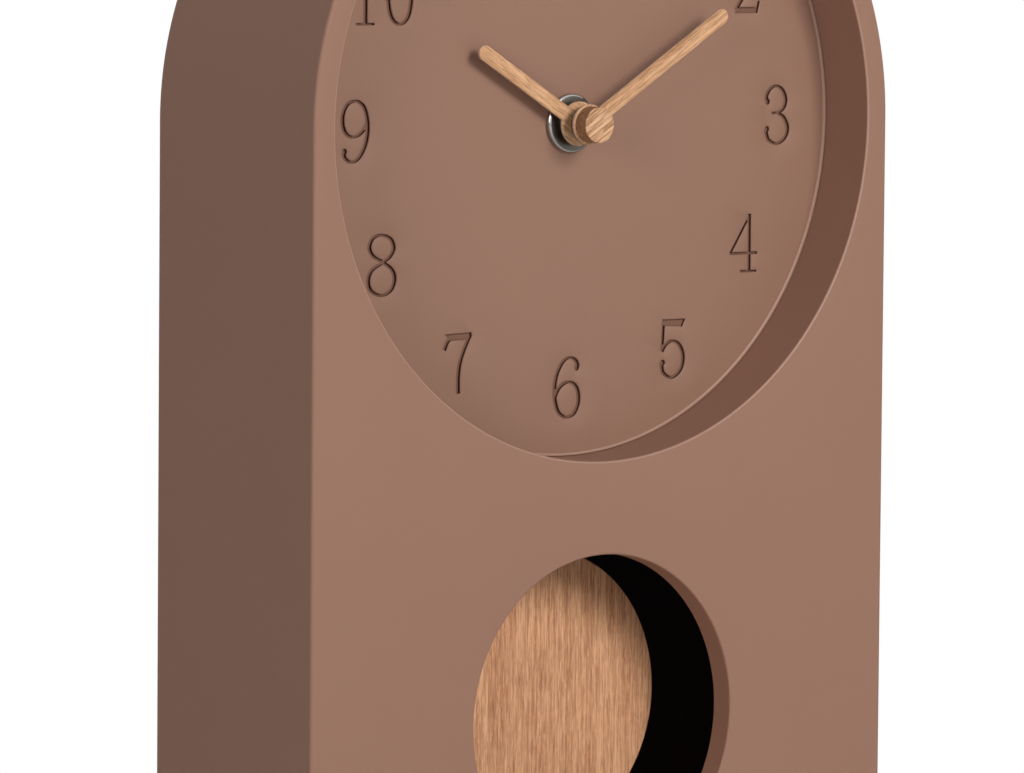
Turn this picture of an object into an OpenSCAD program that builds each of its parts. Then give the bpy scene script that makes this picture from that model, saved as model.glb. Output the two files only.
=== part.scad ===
// Desk pendulum clock with an arched case, a sunk round dial and a window for the pendulum bob.
// Millimetres, +Z up, the front faces -Y, and the origin is at the middle of the base.

/* [Case] */
// Width across the case, which is also the width of the arch
body_w = 180; // [176:1:240]
// Depth from the front face to the back edge
body_d = 65; // [65:1:90]
// Overall height from the table to the top of the arch
body_h = 300; // [296:1:360]
// Thickness of the moulded side walls
case_wall = 3; // [2.5:0.1:4]
// Thickness of the front wall
front_wall = 3; // [2:0.1:4]
// Thickness of the web behind the dial
web_t = 2.5; // [2:0.1:3]
// Thickness of the back panel
panel_t = 3; // [2:0.1:4]
// How far the back panel sits inside the back edge
panel_inset = 1.5; // [1.4:0.1:3]
// Free gap between parts that only slip together
slip_gap = 0.4; // [0.2:0.05:0.6]
// Thickness of the foot pads
foot_t = 1.2; // [0.8:0.1:3]
// Radius of the foot pads
foot_r = 6; // [4:0.5:8]

/* [Dial] */
// Radius of the round recess in the front
recess_r = 83.7; // [82:0.1:84.5]
// Depth from the front face to the dial
dial_depth = 17; // [15:0.5:18]
// Thickness of the dial plate
dial_t = 2; // [1.6:0.1:2.5]
// Radius of the fillet that rises at the edge of the dial
dial_fillet = 0.6; // [0.4:0.1:3]
// Drop of the hand shaft and of the ring of numerals below the recess's centre
shaft_drop = 0.6; // [0:0.1:1]
// Place of the hand shaft to the right of the recess's centre
shaft_side = 0.8; // [0:0.1:1]
// Distance of the numerals from the dial's centre
numeral_ring_r = 67; // [62:0.5:68]
// Turn of the ring of numerals, clockwise
numeral_turn = -0.65; // [-2:0.05:2]
// Depth of the engraved numerals
engrave_d = 0.9; // [0.4:0.1:1.2]
// Width of the engraving where the pen runs up or down
pen_thick = 1.2; // [0.8:0.05:1.3]
// Width of the engraving where the pen runs sideways
pen_thin = 0.5; // [0.35:0.05:0.7]

/* [Window] */
// Height of the window's centre above the table
window_z = 62.5; // [56:0.5:64]
// Radius of the window
window_r = 40.5; // [36:0.5:42]
// Depth of the window's return lip
window_lip_d = 6.4; // [4:0.1:8]
// Thickness of the window's return lip
window_lip_t = 2.4; // [1.6:0.1:3]

/* [Hands] */
// Reach of the hour hand
hour_reach = 36.5; // [30:0.5:45]
// Reach of the minute hand
minute_reach = 51.5; // [45:0.5:57]
// Width of both blades
blade_w = 3.85; // [3:0.05:4.5]
// Radius of the hour hand's disc
hour_disc_r = 5.55; // [5:0.05:6.2]
// Radius of the minute hand's disc
minute_disc_r = 5.05; // [4.6:0.05:5.6]
// Thickness of both hands
hand_t = 0.7; // [0.6:0.1:1.8]
// Radius of the metal collet behind the minute hand's disc
collet_r = 4.7; // [4:0.1:4.9]
// Thickness of that collet
collet_t = 1; // [0.6:0.1:1.2]
// Radius of the wooden cap
cap_r = 4.5; // [3.5:0.1:4.6]
// Length of the wooden cap
cap_l = 4.1; // [3.8:0.1:4.6]
// Depth from the front face to the front of the minute hand
minute_hand_depth = 8.7; // [8.2:0.1:8.9]
// Depth from the front face to the front of the hour hand
hour_hand_depth = 12.8; // [12.4:0.05:12.9]
// Turn of the minute hand from twelve, clockwise
minute_turn = 58; // [0:1:359]
// Turn of the hour hand from twelve, clockwise
hour_turn = 301.3; // [0:0.1:359]

/* [Pendulum] */
// Distance from the dial's centre down to the pivot
pivot_drop = 37; // [36:0.5:39]
// Height of the bob's middle above the middle of the window
bob_rise = 2.5; // [0:0.5:4]
// Radius of the wooden bob
bob_r = 37; // [30:0.5:38]
// Thickness of the bob
bob_t = 3.5; // [2.5:0.1:4]
// Depth from the front face to the bob
bob_depth = 28; // [27:0.1:28.2]
// Width of the flat rod
rod_w = 3.2; // [2.4:0.1:4]
// Thickness of the flat rod
rod_t = 0.8; // [0.6:0.1:1]
// Swing to each side before the hanger meets the drive box
swing = 12; // [6:1:14]
// Radius of the pivot pin
pivot_r = 1; // [0.8:0.05:1.2]

/* [Movement] */
// Width of the movement
movement_w = 58; // [58:0.5:62]
// Height of the movement above the hand shaft
movement_up = 27; // [27:0.5:30]
// Height of the movement below the hand shaft
movement_down = 31; // [31:0.5:34]
// Width of the pendulum drive box under the movement
drive_w = 36; // [32:0.5:44]
// Height of the pendulum drive box
drive_h = 23; // [22:0.5:26]
// Wall thickness of the movement housings
housing_wall = 1.8; // [1.4:0.1:1.9]
// Inside depth of the movement
housing_room = 18.4; // [18.2:0.1:20]
// Thickness of the rubber washer
rubber_t = 0.8; // [0.5:0.1:1.5]
// Radius of the round fixing nut
nut_r = 7.4; // [6:0.1:7.6]
// Thickness of the fixing nut
nut_t = 1.1; // [0.8:0.1:1.4]
// Thickness of the metal washer under the nut
washer_t = 0.4; // [0.3:0.05:0.6]
// Radius of the threaded bushing
bushing_r = 3.95; // [3.6:0.05:4.2]
// Radial clearance of turning pivots and pipes
run_gap = 0.05; // [0.03:0.01:0.08]
// Radial clearance of parts pressed on each other
seat_gap = 0.02; // [0.01:0.01:0.03]

/* [Gears] */
// Distance between the hand shaft and the minute wheel, and from there to the setting pinion
motion_centre = 12; // [11.8:0.1:12.2]
// Tooth module of the seconds reduction
train_module = 0.22; // [0.215:0.001:0.225]
// Thickness of the train wheels
wheel_t = 0.8; // [0.6:0.1:0.9]
// Thickness of the motion wheels
motion_t = 1.2; // [0.8:0.1:1.3]
// Play between meshing teeth along the pitch circle
backlash = 0.08; // [0.06:0.01:0.1]
// Radius of the thin pivots
pivot_end_r = 0.5; // [0.4:0.05:0.6]
// Radius of the rotor magnet
rotor_r = 3; // [2.5:0.1:3.2]

/* [Battery] */
// Radius of the cell
cell_r = 7.25; // [7.05:0.05:7.25]
// Length of the cell with its nub
cell_l = 50.5; // [49.5:0.1:50.5]
// Length of the nub
nub_l = 1; // [0.8:0.1:1.4]

/* [Fasteners] */
// Radius of the back panel's screws
panel_screw_r = 1.4; // [1.2:0.1:1.6]
// Radius of the back panel's screw bosses
boss_r = 4.5; // [4:0.1:5]
// Length of the back panel's screw bosses
boss_l = 14; // [10:0.5:18]
// Distance of the lower screws from the base and of the middle ones from the window
boss_margin = 12; // [10:0.5:15]
// Radius of the movement's screws
movement_screw_r = 0.8; // [0.6:0.05:0.9]

/* [Hidden] */
$fn = 96;
eps = 0.01;
past = 1;

// Depths are measured back from the front face, and heights on the dial from the hand shaft
front_y = -body_d / 2;
arch_r = body_w / 2;
arch_z = body_h - arch_r;
dial_z = arch_z - shaft_drop;
recess_at = [-shaft_side, shaft_drop];
shaft_spot = [shaft_side, dial_z];
inner_r = arch_r - case_wall;
web_front = dial_depth + dial_t;
web_back = web_front + web_t;
movement_front = web_back + rubber_t;
room_front = movement_front + housing_wall;
room_back = room_front + housing_room;
movement_back = room_back + housing_wall;
split_depth = room_front + 9;
panel_back = body_d - panel_inset;
panel_front = panel_back - panel_t;

// Hand stack from the cap back to the train
cap_front = minute_hand_depth - cap_l + 0.01;
minute_hand_back = minute_hand_depth + hand_t;
hour_hand_back = hour_hand_depth + hand_t;
nut_front = dial_depth - washer_t - nut_t;
bushing_front = nut_front - 0.5;
arbor_nose_r = 1.2;
arbor_seat_r = 1.5;
arbor_r = 1.9;
arbor_thin_r = 1.2;
pipe_seat_r = 2.5;
pipe_r = 2.8;
bushing_flange_r = 5.5;
bushing_flange_t = 1;

// Planes of the motion works and of the train
hour_plane = room_front + bushing_flange_t + 0.5;
cannon_plane = hour_plane + motion_t + 0.4;
plate_front = cannon_plane + motion_t + 1.6;
plate_t = 1.2;
plate_back = plate_front + plate_t;
third_plane = plate_back + 2.4;
centre_plane = third_plane + wheel_t + 1.2;
fourth_plane = centre_plane + wheel_t + 1;
fifth_plane = fourth_plane + wheel_t + 1.2;
stator_front = third_plane + wheel_t + 0.2;
stator_t = 0.8;
arbor_back = fourth_plane - 0.4;
magnet_front = stator_front - 1.1;
magnet_t = 3;

// Tooth counts
cannon_z = 12;
minute_wheel_z = 36;
minute_pinion_z = 10;
hour_wheel_z = 40;
setting_z = 12;
rotor_z = 10;
fifth_z = 60;
fourth_z = 50;
third_z = 75;
centre_z = 80;
leaf_z = 10;
cannon_module = 2 * motion_centre / (cannon_z + minute_wheel_z);
hour_module = 2 * motion_centre / (minute_pinion_z + hour_wheel_z);
fourth_module = train_module * 1.13;
pressure_angle = 25;
addendum = 0.85;
dedendum = 1.15;

// Arbor places on the dial plane, each at a mesh distance and a bearing from the one before
function mesh_gap(module_size, z1, z2) = module_size * (z1 + z2) / 2;
function step(from, dist, bearing) = from + dist * [cos(bearing), sin(bearing)];
minute_bearing = 0;
setting_bearing = -30;
third_bearing = 150;
fourth_bearing = 80;
fifth_bearing = -10;
rotor_bearing = -5;
shaft_at = [0, 0];
minute_wheel_at = step(shaft_at, motion_centre, minute_bearing);
setting_at = step(minute_wheel_at, motion_centre, setting_bearing);
third_at = step(shaft_at, mesh_gap(train_module, leaf_z, centre_z), third_bearing);
fourth_at = step(third_at, mesh_gap(train_module, leaf_z, third_z), fourth_bearing);
fifth_at = step(fourth_at, mesh_gap(fourth_module, leaf_z, fourth_z), fifth_bearing);
rotor_at = step(fifth_at, mesh_gap(train_module, rotor_z, fifth_z), rotor_bearing);

// Battery bay
bay_wall = 1.3;
cell_z = -20.6;
bay_front = room_front + 3.9;
cell_depth = bay_front + bay_wall + cell_r + 0.1;
bay_top = cell_z + cell_r + 0.45;
bay_bottom = cell_z - cell_r - 0.35;
housing_half = movement_w / 2 - housing_wall;
contact_t = 0.4;
contact_gap = 0.05;
plate_gap = 0.5;

// Posts that carry the gear plate and the movement's screws
post_r = 2;
post_pilot = 0.68 * (plate_front - room_front);
post_screw_reach = 0.9 * post_pilot;
post_at = [
    [-housing_half + 3.2, movement_up - 5], [housing_half - 3.2, movement_up - 5],
    [-housing_half + 3.2, -8], [housing_half - 2.4, 6]
];

// Coil between the legs of the stator
coil_z = 21;
leg_w = 2.8;
leg_left = 1.6;
leg_right = 17.2;
core_h = 2.4;
coil_flange_t = 1;
coil_flange_r = 3.7;
coil_r = 3.3;
bobbin_r = 2;
coil_left = leg_left + leg_w + 0.4;
coil_right = leg_right - 0.4;

// Pendulum drive
pivot_at = [0, -pivot_drop];
bob_drop = dial_z - window_z - bob_rise;
hanger_front = bob_depth + 3;
hanger_t = 3;
hanger_hub_r = 3.2;
hanger_w = 5;
drive_floor = -movement_down - drive_h;
hanger_end = drive_floor - 8;
rod_depth = hanger_front + 1;
rod_top = hanger_end + 5.7;
rod_end = -bob_drop - 20;
magnet_drop = 9;
drive_magnet_r = 3;
drive_magnet_t = 2.5;
drive_coil_t = 3.5;
clip_w = 12;
clip_h = 14;
clip_t = 2.6;
slot_half = (-drive_floor - pivot_drop) * sin(swing) + hanger_w / 2 + 0.5;

// Fasteners and feet
panel_r = inner_r - slip_gap;
screw_reach = 0.7 * boss_l;
pilot_depth = 0.85 * boss_l;
screw_ring_r = inner_r - 4;
screw_head_r = 2.6;
screw_head_t = 1.3;
screw_slot_w = 0.6;
boss_at = concat(
    [for (side = [-1, 1], z = [foot_t, window_z + window_r]) [side * screw_ring_r, z + boss_margin]],
    [for (side = [-1, 1]) step([0, arch_z], screw_ring_r, 90 + side * 38)]
);
access_gap = 2;
access_low = drive_floor - access_gap - 1;
access_corner = 4;
foot_inset = [3 * foot_r, 2 * foot_r];
foot_at = [for (side = [-1, 1], end = [-1, 1])
    [side * (arch_r - foot_inset[0]), end * (body_d / 2 - foot_inset[1])]];

// Colours of the materials
shell_colour = "#9e7a68";
dial_colour = "#97725f";
oak_colour = "#d2a172";
black_colour = "#1c1a19";
steel_colour = "#b8babd";
brass_colour = "#c9a35a";
copper_colour = "#b5673a";
resin_colour = "#e8e4da";

// Places children drawn on the front view between two depths
module slab(front, back, at = [0, 0]) {
    translate([shaft_side + at[0], front_y + back, dial_z + at[1]])
        rotate([90, 0, 0])
            linear_extrude(back - front)
                children();
}

// A disc or pin along the depth
module pin(r, front, back, at = [0, 0]) {
    slab(front, back, at) circle(r);
}

// A ring along the depth
module ring(r_out, r_in, front, back, at = [0, 0]) {
    slab(front, back, at)
        difference() {
            circle(r_out);
            circle(r_in);
        }
}

// A turned piece from a profile of radius and depth
module turned(profile, at = [0, 0]) {
    translate([shaft_side + at[0], front_y, dial_z + at[1]])
        rotate([-90, 0, 0])
            rotate_extrude()
                polygon(profile);
}

// The arch of the case on the front view, drawn about the recess's centre
module arch(inset = 0) {
    translate(recess_at) circle(arch_r - inset, $fn = 180);
    translate([-arch_r + inset, foot_t + inset] - shaft_spot)
        square([2 * (arch_r - inset), arch_z - foot_t - inset]);
}

// A rectangle with round corners from its lower left corner
module round_rect(size, r) {
    translate([r, 0]) square([size[0] - 2 * r, size[1]]);
    translate([0, r]) square([size[0], size[1] - 2 * r]);
    for (x = [r, size[0] - r], y = [r, size[1] - r]) translate([x, y]) circle(r);
}

// Involute gear outline: half of a tooth's angle at radius rho, in degrees
function roll(rho, base) = rho <= base ? 0 : tan(acos(base / rho)) * 180 / PI - acos(base / rho);
function half_tooth(rho, pitch, base) = roll(pitch, base) - roll(max(rho, base), base);
function gear_points(z, m) =
    let (
        pitch = m * z / 2,
        base = pitch * cos(pressure_angle),
        tip = pitch + addendum * m,
        root = pitch - dedendum * m,
        waist = (PI * m / 2 - backlash) / 2 / pitch * 180 / PI,
        rhos = [root, max(base, root + 0.1 * m), pitch, tip]
    )
    [
        for (k = [0 : z - 1])
            let (mid = k * 360 / z)
            for (side = [-1, 1], j = [0 : 3])
                let (
                    rho = rhos[side < 0 ? j : 3 - j],
                    a = mid + side * (waist + half_tooth(rho, pitch, base))
                )
                rho * [cos(a), sin(a)]
    ];

// Turn that puts a gear of z2 teeth in mesh with one of z1 teeth turned by a1
function mesh_turn(bearing, a1, z1, z2) = bearing + 180 - 180 / z2 + (bearing - a1) * z1 / z2;

// A gear wheel with a bore on the front view
module gear(z, m, turn, bore_r = 0) {
    difference() {
        rotate(turn) polygon(gear_points(z, m));
        if (bore_r > 0) circle(bore_r, $fn = 48);
    }
}

// Smooth curve through hand-set points, for the numerals
function spline_at(p0, p1, p2, p3, t) =
    0.5 * ((2 * p1) + (p2 - p0) * t + (2 * p0 - 5 * p1 + 4 * p2 - p3) * t * t
        + (3 * p1 - p0 - 3 * p2 + p3) * t * t * t);
function spline(p, steps = 3) =
    let (n = len(p))
    concat(
        [
            for (i = [0 : n - 2], j = [0 : steps - 1])
                let (
                    before = i > 0 ? p[i - 1] : 2 * p[0] - p[1],
                    after = i < n - 2 ? p[i + 2] : 2 * p[n - 1] - p[n - 2]
                )
                spline_at(before, p[i], p[i + 1], after, j / steps)
        ],
        [p[n - 1]]
    );

// Outline of a pen stroke that is thick where it runs up or down and thin where it runs sideways
function tangent(p, i) = let (d = p[min(i + 1, len(p) - 1)] - p[max(i - 1, 0)]) d / norm(d);
function stroke_side(p, side, thick) = [
    for (i = [0 : len(p) - 1])
        let (t = tangent(p, i), half = (pen_thin + (thick - pen_thin) * abs(t[1])) / 2)
        p[i] + side * half * [-t[1], t[0]]
];
function reversed(p) = [for (i = [len(p) - 1 : -1 : 0]) p[i]];
module stroke(points, thick = pen_thick) {
    line = spline(points);
    polygon(concat(stroke_side(line, 1, thick), reversed(stroke_side(line, -1, thick))));
}
module straight(from, to, w) {
    dir = (to - from) / norm(to - from);
    side = [-dir[1], dir[0]] * w / 2;
    polygon([from + side, to + side, to - side, from - side]);
}
module ball(at) {
    translate(at) circle(0.75, $fn = 16);
}

// Old style numerals, each about 15 mm high and drawn about its own centre
module digit_0() {
    stroke([[0, 7.3], [2.5, 5.6], [3.5, 2.2], [3.5, -2.2], [2.5, -5.6], [0, -7.3]]);
    stroke([[0, 7.3], [-2.5, 5.6], [-3.5, 2.2], [-3.5, -2.2], [-2.5, -5.6], [0, -7.3]]);
}
module digit_1() {
    straight([0.1, 7.4], [0.1, -7.2], pen_thick);
    stroke([[0.3, 7.2], [-0.8, 5.6], [-2.3, 4.9]]);
    straight([-2.6, -7.2], [2.8, -7.2], pen_thin);
}
module digit_2() {
    ball([-3.0, 3.7]);
    stroke([[-3.5, 4.1], [-2.8, 6.2], [-0.2, 7.3], [2.5, 6.2], [3.4, 3.7], [2.4, 0.9], [-0.6, -2.6], [-3.5, -6.6]]);
    polygon([[-3.8, -7.4], [3.6, -7.4], [4.3, -4.4], [3.7, -4.4], [3.1, -6], [-3.1, -6]]);
}
module digit_3() {
    ball([-3.1, 3.4]);
    ball([-3.2, -3.6]);
    stroke([[-3.5, 3.8], [-3.2, 5.3], [-2.1, 6.7], [-0.2, 7.3], [1.8, 6.3], [2.9, 3.9], [2.2, 1.7], [0.4, 0.5]]);
    straight([-1.6, 0.5], [0.8, 0.5], pen_thin);
    stroke([[0.4, 0.5], [2.5, -0.9], [3.6, -3.5], [2.6, -6], [0, -7.3], [-2.5, -6.4], [-3.3, -4.9], [-3.6, -3.7]]);
}
module digit_4() {
    straight([2, 7.3], [2, -7.2], pen_thick * 0.85);
    straight([-4.4, -2.6], [4.6, -2.6], pen_thin * 1.2);
    straight([-4.2, -2.6], [1.8, 6.6], pen_thin * 1.2);
    straight([-0.9, -7.2], [4.4, -7.2], pen_thin);
}
module digit_5() {
    polygon([[-3.4, 7.4], [4, 7.4], [3.1, 5.5], [-3.4, 5.9]]);
    straight([-3, 6.4], [-3.4, 0], pen_thick * 0.8);
    stroke([[-3.5, -0.6], [-2.2, 1.1], [-0.1, 1.9], [2.1, 0.9], [3.4, -2], [2.6, -5.4], [-0.2, -7.3], [-2.8, -6.2], [-3.5, -4.4], [-3.6, -3.5]]);
    ball([-3.2, -3.5]);
}
module digit_7() {
    polygon([[-4, 7.3], [4.3, 7.6], [3.4, 5.9], [-2.4, 5.8]]);
    stroke([[-2.3, 6.4], [-3.5, 5.1], [-4.2, 3.5]]);
    stroke([[3.9, 7.2], [1.9, 3.4], [0.6, 0], [0.1, -3.5], [0.1, -7.4]]);
}
module digit_8() {
    stroke([[-0.2, 7.4], [-2.8, 6.5], [-3.7, 4.4], [-2.5, 2.3], [0.5, 0.7], [3.2, -1.2], [4, -3.5], [2.8, -6.3], [-0.3, -7.4]]);
    stroke([[-0.2, 7.4], [2.6, 6.5], [3.7, 4.3], [2.7, 2.2], [0.5, 0.7], [-2.8, -1.1], [-4, -3.5], [-3.3, -6], [-0.3, -7.4]]);
}
module digit_9() {
    ball([-3.2, -4.9]);
    stroke([[-3.6, -5.1], [-2.9, -6.6], [-1.2, -7.4], [0.9, -6.7], [2.8, -4], [3.7, -0.8], [3.7, 2.5], [2.8, 5.6], [1, 7.2], [-0.4, 7.4]]);
    stroke([[-0.4, 7.4], [-2.6, 6.5], [-3.7, 4.2], [-3.7, 1.4], [-2.7, -0.5], [-1, -1.3], [1, -0.9], [2.6, 0.4], [3.6, 2.2]]);
}
module digit(d) {
    if (d == 0) digit_0();
    if (d == 1) digit_1();
    if (d == 2) digit_2();
    if (d == 3) digit_3();
    if (d == 4) digit_4();
    if (d == 5) digit_5();
    if (d == 6) rotate(180) digit_9();
    if (d == 7) digit_7();
    if (d == 8) digit_8();
    if (d == 9) digit_9();
}
module hour_numeral(h) {
    half_space = h == 11 ? 3.4 : 5.5;
    if (h < 10) {
        digit(h);
    } else {
        translate([-half_space, 0]) digit(1);
        translate([h == 11 ? half_space : half_space - 0.5, 0]) digit(h - 10);
    }
}

// Outline of the movement: a square body over the narrower pendulum drive box
module movement_outline(inset = 0) {
    corner = 3 - inset;
    translate([-movement_w / 2 + inset, -movement_down + inset])
        round_rect([movement_w - 2 * inset, movement_up + movement_down - 2 * inset], corner);
}
module drive_outline(inset = 0) {
    translate([-drive_w / 2 + inset, drive_floor + inset])
        square([drive_w - 2 * inset, drive_h - inset]);
}

module case_shell() {
    color(shell_colour)
    difference() {
        union() {
            difference() {
                slab(0, body_d) arch();
                slab(front_wall, body_d + past) arch(case_wall);
            }
            slab(0, web_back, recess_at) circle(inner_r + eps, $fn = 180);
            pin(window_r + window_lip_t, 0, window_lip_d, [0, window_z] - shaft_spot);
            for (at = boss_at) {
                pin(boss_r, panel_front - boss_l, panel_front, at - shaft_spot);
            }
        }
        slab(-past, web_front, recess_at) circle(recess_r, $fn = 180);
        pin(bushing_r + slip_gap, web_front - past, web_back + past);
        pin(window_r, -past, window_lip_d + past, [0, window_z] - shaft_spot);
        for (at = boss_at) {
            pin(panel_screw_r + seat_gap, panel_front - pilot_depth, panel_front + past, at - shaft_spot);
        }
        trim_outside();
    }
}

// Keeps the screw bosses inside the outer skin of the case
module trim_outside() {
    slab(panel_front - boss_l - past, panel_front + past)
        difference() {
            arch(-2 * boss_r);
            arch(eps);
        }
}

// Place of an hour's numeral: even steps on the ring, and the small shifts that the photo shows
function numeral_shift(h) =
    h == 3 ? [0.9, 0] : h == 4 ? [-1.1, 1.3] : h == 5 ? [0.5, 0.1] : h == 6 ? [0, 1]
    : h == 7 ? [-0.5, -0.3] : h == 8 ? [0.6, 0.5] : h == 9 ? [1.7, 0]
    : h == 10 ? [1.4, -0.3] : [0, 0];
function numeral_at(h) =
    [-shaft_side, 0] + numeral_ring_r * [sin(30 * h + numeral_turn), cos(30 * h + numeral_turn)]
    + numeral_shift(h);

module dial_plate() {
    edge = recess_r - 0.15;
    lip = [for (a = [0 : 15 : 90])
        [edge - dial_fillet + dial_fillet * sin(a), dial_depth - dial_fillet + dial_fillet * cos(a)]];
    color(dial_colour)
    difference() {
        turned(concat([[0, dial_depth]], lip, [[edge, web_front], [0, web_front]]), recess_at, $fn = 180);
        pin(bushing_r + slip_gap, dial_depth - past, web_front + past);
        for (h = [1 : 12]) {
            slab(dial_depth - past, dial_depth + engrave_d, numeral_at(h)) hour_numeral(h);
        }
    }
}

module back_panel() {
    color(black_colour)
    slab(panel_front, panel_back)
        difference() {
            arch(case_wall + slip_gap);
            translate([-movement_w / 2 - access_gap, access_low])
                round_rect([movement_w + 2 * access_gap, movement_up + access_gap + 1 - access_low], access_corner);
            for (at = boss_at) translate(at - shaft_spot) circle(panel_screw_r + slip_gap / 2, $fn = 32);
        }
}

module back_panel_screws() {
    color(steel_colour)
    for (at = boss_at) {
        difference() {
            turned([
                [0, panel_front - screw_reach], [panel_screw_r, panel_front - screw_reach],
                [panel_screw_r, panel_back], [screw_head_r, panel_back],
                [screw_head_r * 0.8, panel_back + screw_head_t], [0, panel_back + screw_head_t]
            ], at - shaft_spot);
            slab(panel_back + screw_head_t / 2, panel_back + screw_head_t + past, at - shaft_spot) {
                square([screw_head_r * 1.2, screw_slot_w], center = true);
                square([screw_slot_w, screw_head_r * 1.2], center = true);
            }
        }
    }
}

module foot_pads() {
    color(black_colour)
    for (at = foot_at) translate([at[0], at[1], 0]) cylinder(r = foot_r, h = foot_t);
}

module movement_front_housing() {
    color(black_colour)
    difference() {
        union() {
            slab(movement_front, split_depth) {
                movement_outline();
                drive_outline();
            }
        }
        slab(room_front, split_depth + past) movement_outline(housing_wall);
        slab(room_front, split_depth + past) drive_outline(housing_wall);
        pin(bushing_r + seat_gap, movement_front - past, room_front + past);
        pin(pivot_r + seat_gap, room_front - 1, room_front + past, pivot_at);
        drive_slot();
    }
    color(black_colour)
    difference() {
        for (at = post_at) pin(post_r, room_front - eps, plate_front, at);
        for (at = post_at) pin(movement_screw_r + seat_gap, plate_front - post_pilot, plate_front + past, at);
    }
    color(black_colour)
    pin(pivot_end_r * 2, room_front - eps, cannon_plane + motion_t + 0.3, minute_wheel_at);
}

// Opening in the floor of the drive box, as wide as the hanger's swing needs
module drive_slot() {
    slab(hanger_front - 1.5, hanger_front + hanger_t + drive_magnet_t + 0.6, [0, drive_floor + housing_wall / 2])
        square([2 * slot_half, housing_wall + 2 * past], center = true);
}

module movement_rear_housing() {
    color(black_colour)
    difference() {
        union() {
            difference() {
                slab(split_depth, movement_back) {
                    movement_outline();
                    drive_outline();
                }
                slab(split_depth - past, room_back) movement_outline(housing_wall);
                slab(split_depth - past, room_back) drive_outline(housing_wall);
            }
            battery_bay();
            for (at = post_at) pin(post_r, plate_back, room_back + eps, at);
            for (at = board_posts) pin(0.9, board_back, room_back + eps, at);
        }
        slab(room_back - past, movement_back + past)
            translate([-housing_half + 0.6, bay_bottom])
                square([2 * housing_half - 1.2, bay_top - bay_bottom]);
        for (at = post_at) {
            pin(movement_screw_r + slip_gap / 2, plate_back - past, movement_back + past, at);
        }
        pin(setting_shaft_r + run_gap, room_back - past, movement_back + past, setting_at);
        for (at = [third_at, fourth_at, fifth_at, rotor_at]) {
            pin(pivot_end_r + run_gap, room_back - past, room_back + 1, at);
        }
        pin(pivot_r + seat_gap, room_back - past, room_back + 1, pivot_at);
        drive_slot();
    }
}

// Tray that holds the cell, open at the back
module battery_bay() {
    half = housing_half - 0.3;
    tray_h = bay_top - bay_bottom + 2 * bay_wall;
    difference() {
        union() {
            slab(bay_front, split_depth)
                translate([-half, bay_bottom - bay_wall + 0.35]) round_rect([2 * half, tray_h - 0.35], 1.6);
            slab(split_depth, room_back + eps)
                translate([-housing_half - eps, bay_bottom - bay_wall + 0.35])
                    square([2 * (housing_half + eps), tray_h - 0.35]);
        }
        slab(bay_front + bay_wall, room_back + past)
            translate([-half + 0.6, bay_bottom]) square([2 * half - 1.2, bay_top - bay_bottom]);
        slab(split_depth, room_back + past)
            translate([-housing_half, bay_bottom]) square([2 * housing_half, bay_top - bay_bottom]);
    }
}

module gear_plate() {
    color(resin_colour)
    slab(plate_front, plate_back)
        difference() {
            translate([-housing_half + plate_gap, bay_top + bay_wall + plate_gap])
                square([2 * (housing_half - plate_gap),
                    movement_up - housing_wall - bay_top - bay_wall - 2 * plate_gap]);
            circle(arbor_thin_r + run_gap, $fn = 32);
            translate(setting_at) circle(setting_shaft_r + slip_gap, $fn = 32);
            for (at = [third_at, fourth_at, fifth_at, rotor_at]) {
                translate(at) circle(pivot_end_r + run_gap, $fn = 32);
            }
            for (at = post_at) translate(at) circle(movement_screw_r + slip_gap / 2, $fn = 32);
        }
}

module movement_screws() {
    color(steel_colour)
    for (at = post_at) {
        turned([
            [0, plate_front - post_screw_reach], [movement_screw_r, plate_front - post_screw_reach],
            [movement_screw_r, movement_back], [post_r * 0.8, movement_back],
            [post_r * 0.6, movement_back + 0.8], [0, movement_back + 0.8]
        ], at, $fn = 32);
    }
}

module fixing_bushing() {
    color(brass_colour)
    turned([
        [pipe_r + run_gap, bushing_front], [bushing_r - 0.3, bushing_front],
        [bushing_r, bushing_front + 0.3], [bushing_r, room_front],
        [bushing_flange_r, room_front], [bushing_flange_r, room_front + bushing_flange_t],
        [pipe_r + run_gap, room_front + bushing_flange_t]
    ]);
}

module rubber_washer() {
    color(black_colour)
    ring(9, bushing_r + slip_gap / 2, web_back, movement_front);
}

module nut_washer() {
    color(steel_colour)
    ring(nut_r - 0.2, bushing_r + slip_gap / 2, dial_depth - washer_t, dial_depth);
}

module fixing_nut() {
    round_over = nut_t * 0.7;
    rim = [for (a = [0 : 15 : 90])
        [nut_r - round_over + round_over * sin(a), nut_front + round_over - round_over * cos(a)]];
    color(steel_colour)
    turned(concat(
        [[bushing_r + seat_gap, nut_front + 0.3], [bushing_r + 0.9, nut_front]], rim,
        [[nut_r, nut_front + nut_t], [bushing_r + seat_gap, nut_front + nut_t]]
    ));
}

module minute_arbor() {
    color(brass_colour) {
        turned([
            [0, cap_front + 1], [arbor_nose_r, cap_front + 1],
            [arbor_nose_r, minute_hand_depth], [arbor_seat_r, minute_hand_depth],
            [arbor_seat_r, minute_hand_back], [arbor_r, minute_hand_back],
            [arbor_r, cannon_plane], [arbor_r + 0.1, cannon_plane],
            [arbor_r + 0.1, cannon_plane + motion_t], [arbor_r, plate_front - 0.2],
            [arbor_thin_r, plate_front - 0.2], [arbor_thin_r, arbor_back], [0, arbor_back]
        ]);
        slab(cannon_plane, cannon_plane + motion_t) gear(cannon_z, cannon_module, 0);
    }
}

// A hand on the front view, pointing up
module hand_outline(reach, disc_r) {
    circle(disc_r);
    translate([-blade_w / 2, 0]) square([blade_w, reach - blade_w / 2]);
    translate([0, reach - blade_w / 2]) circle(blade_w / 2, $fn = 48);
}

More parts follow.
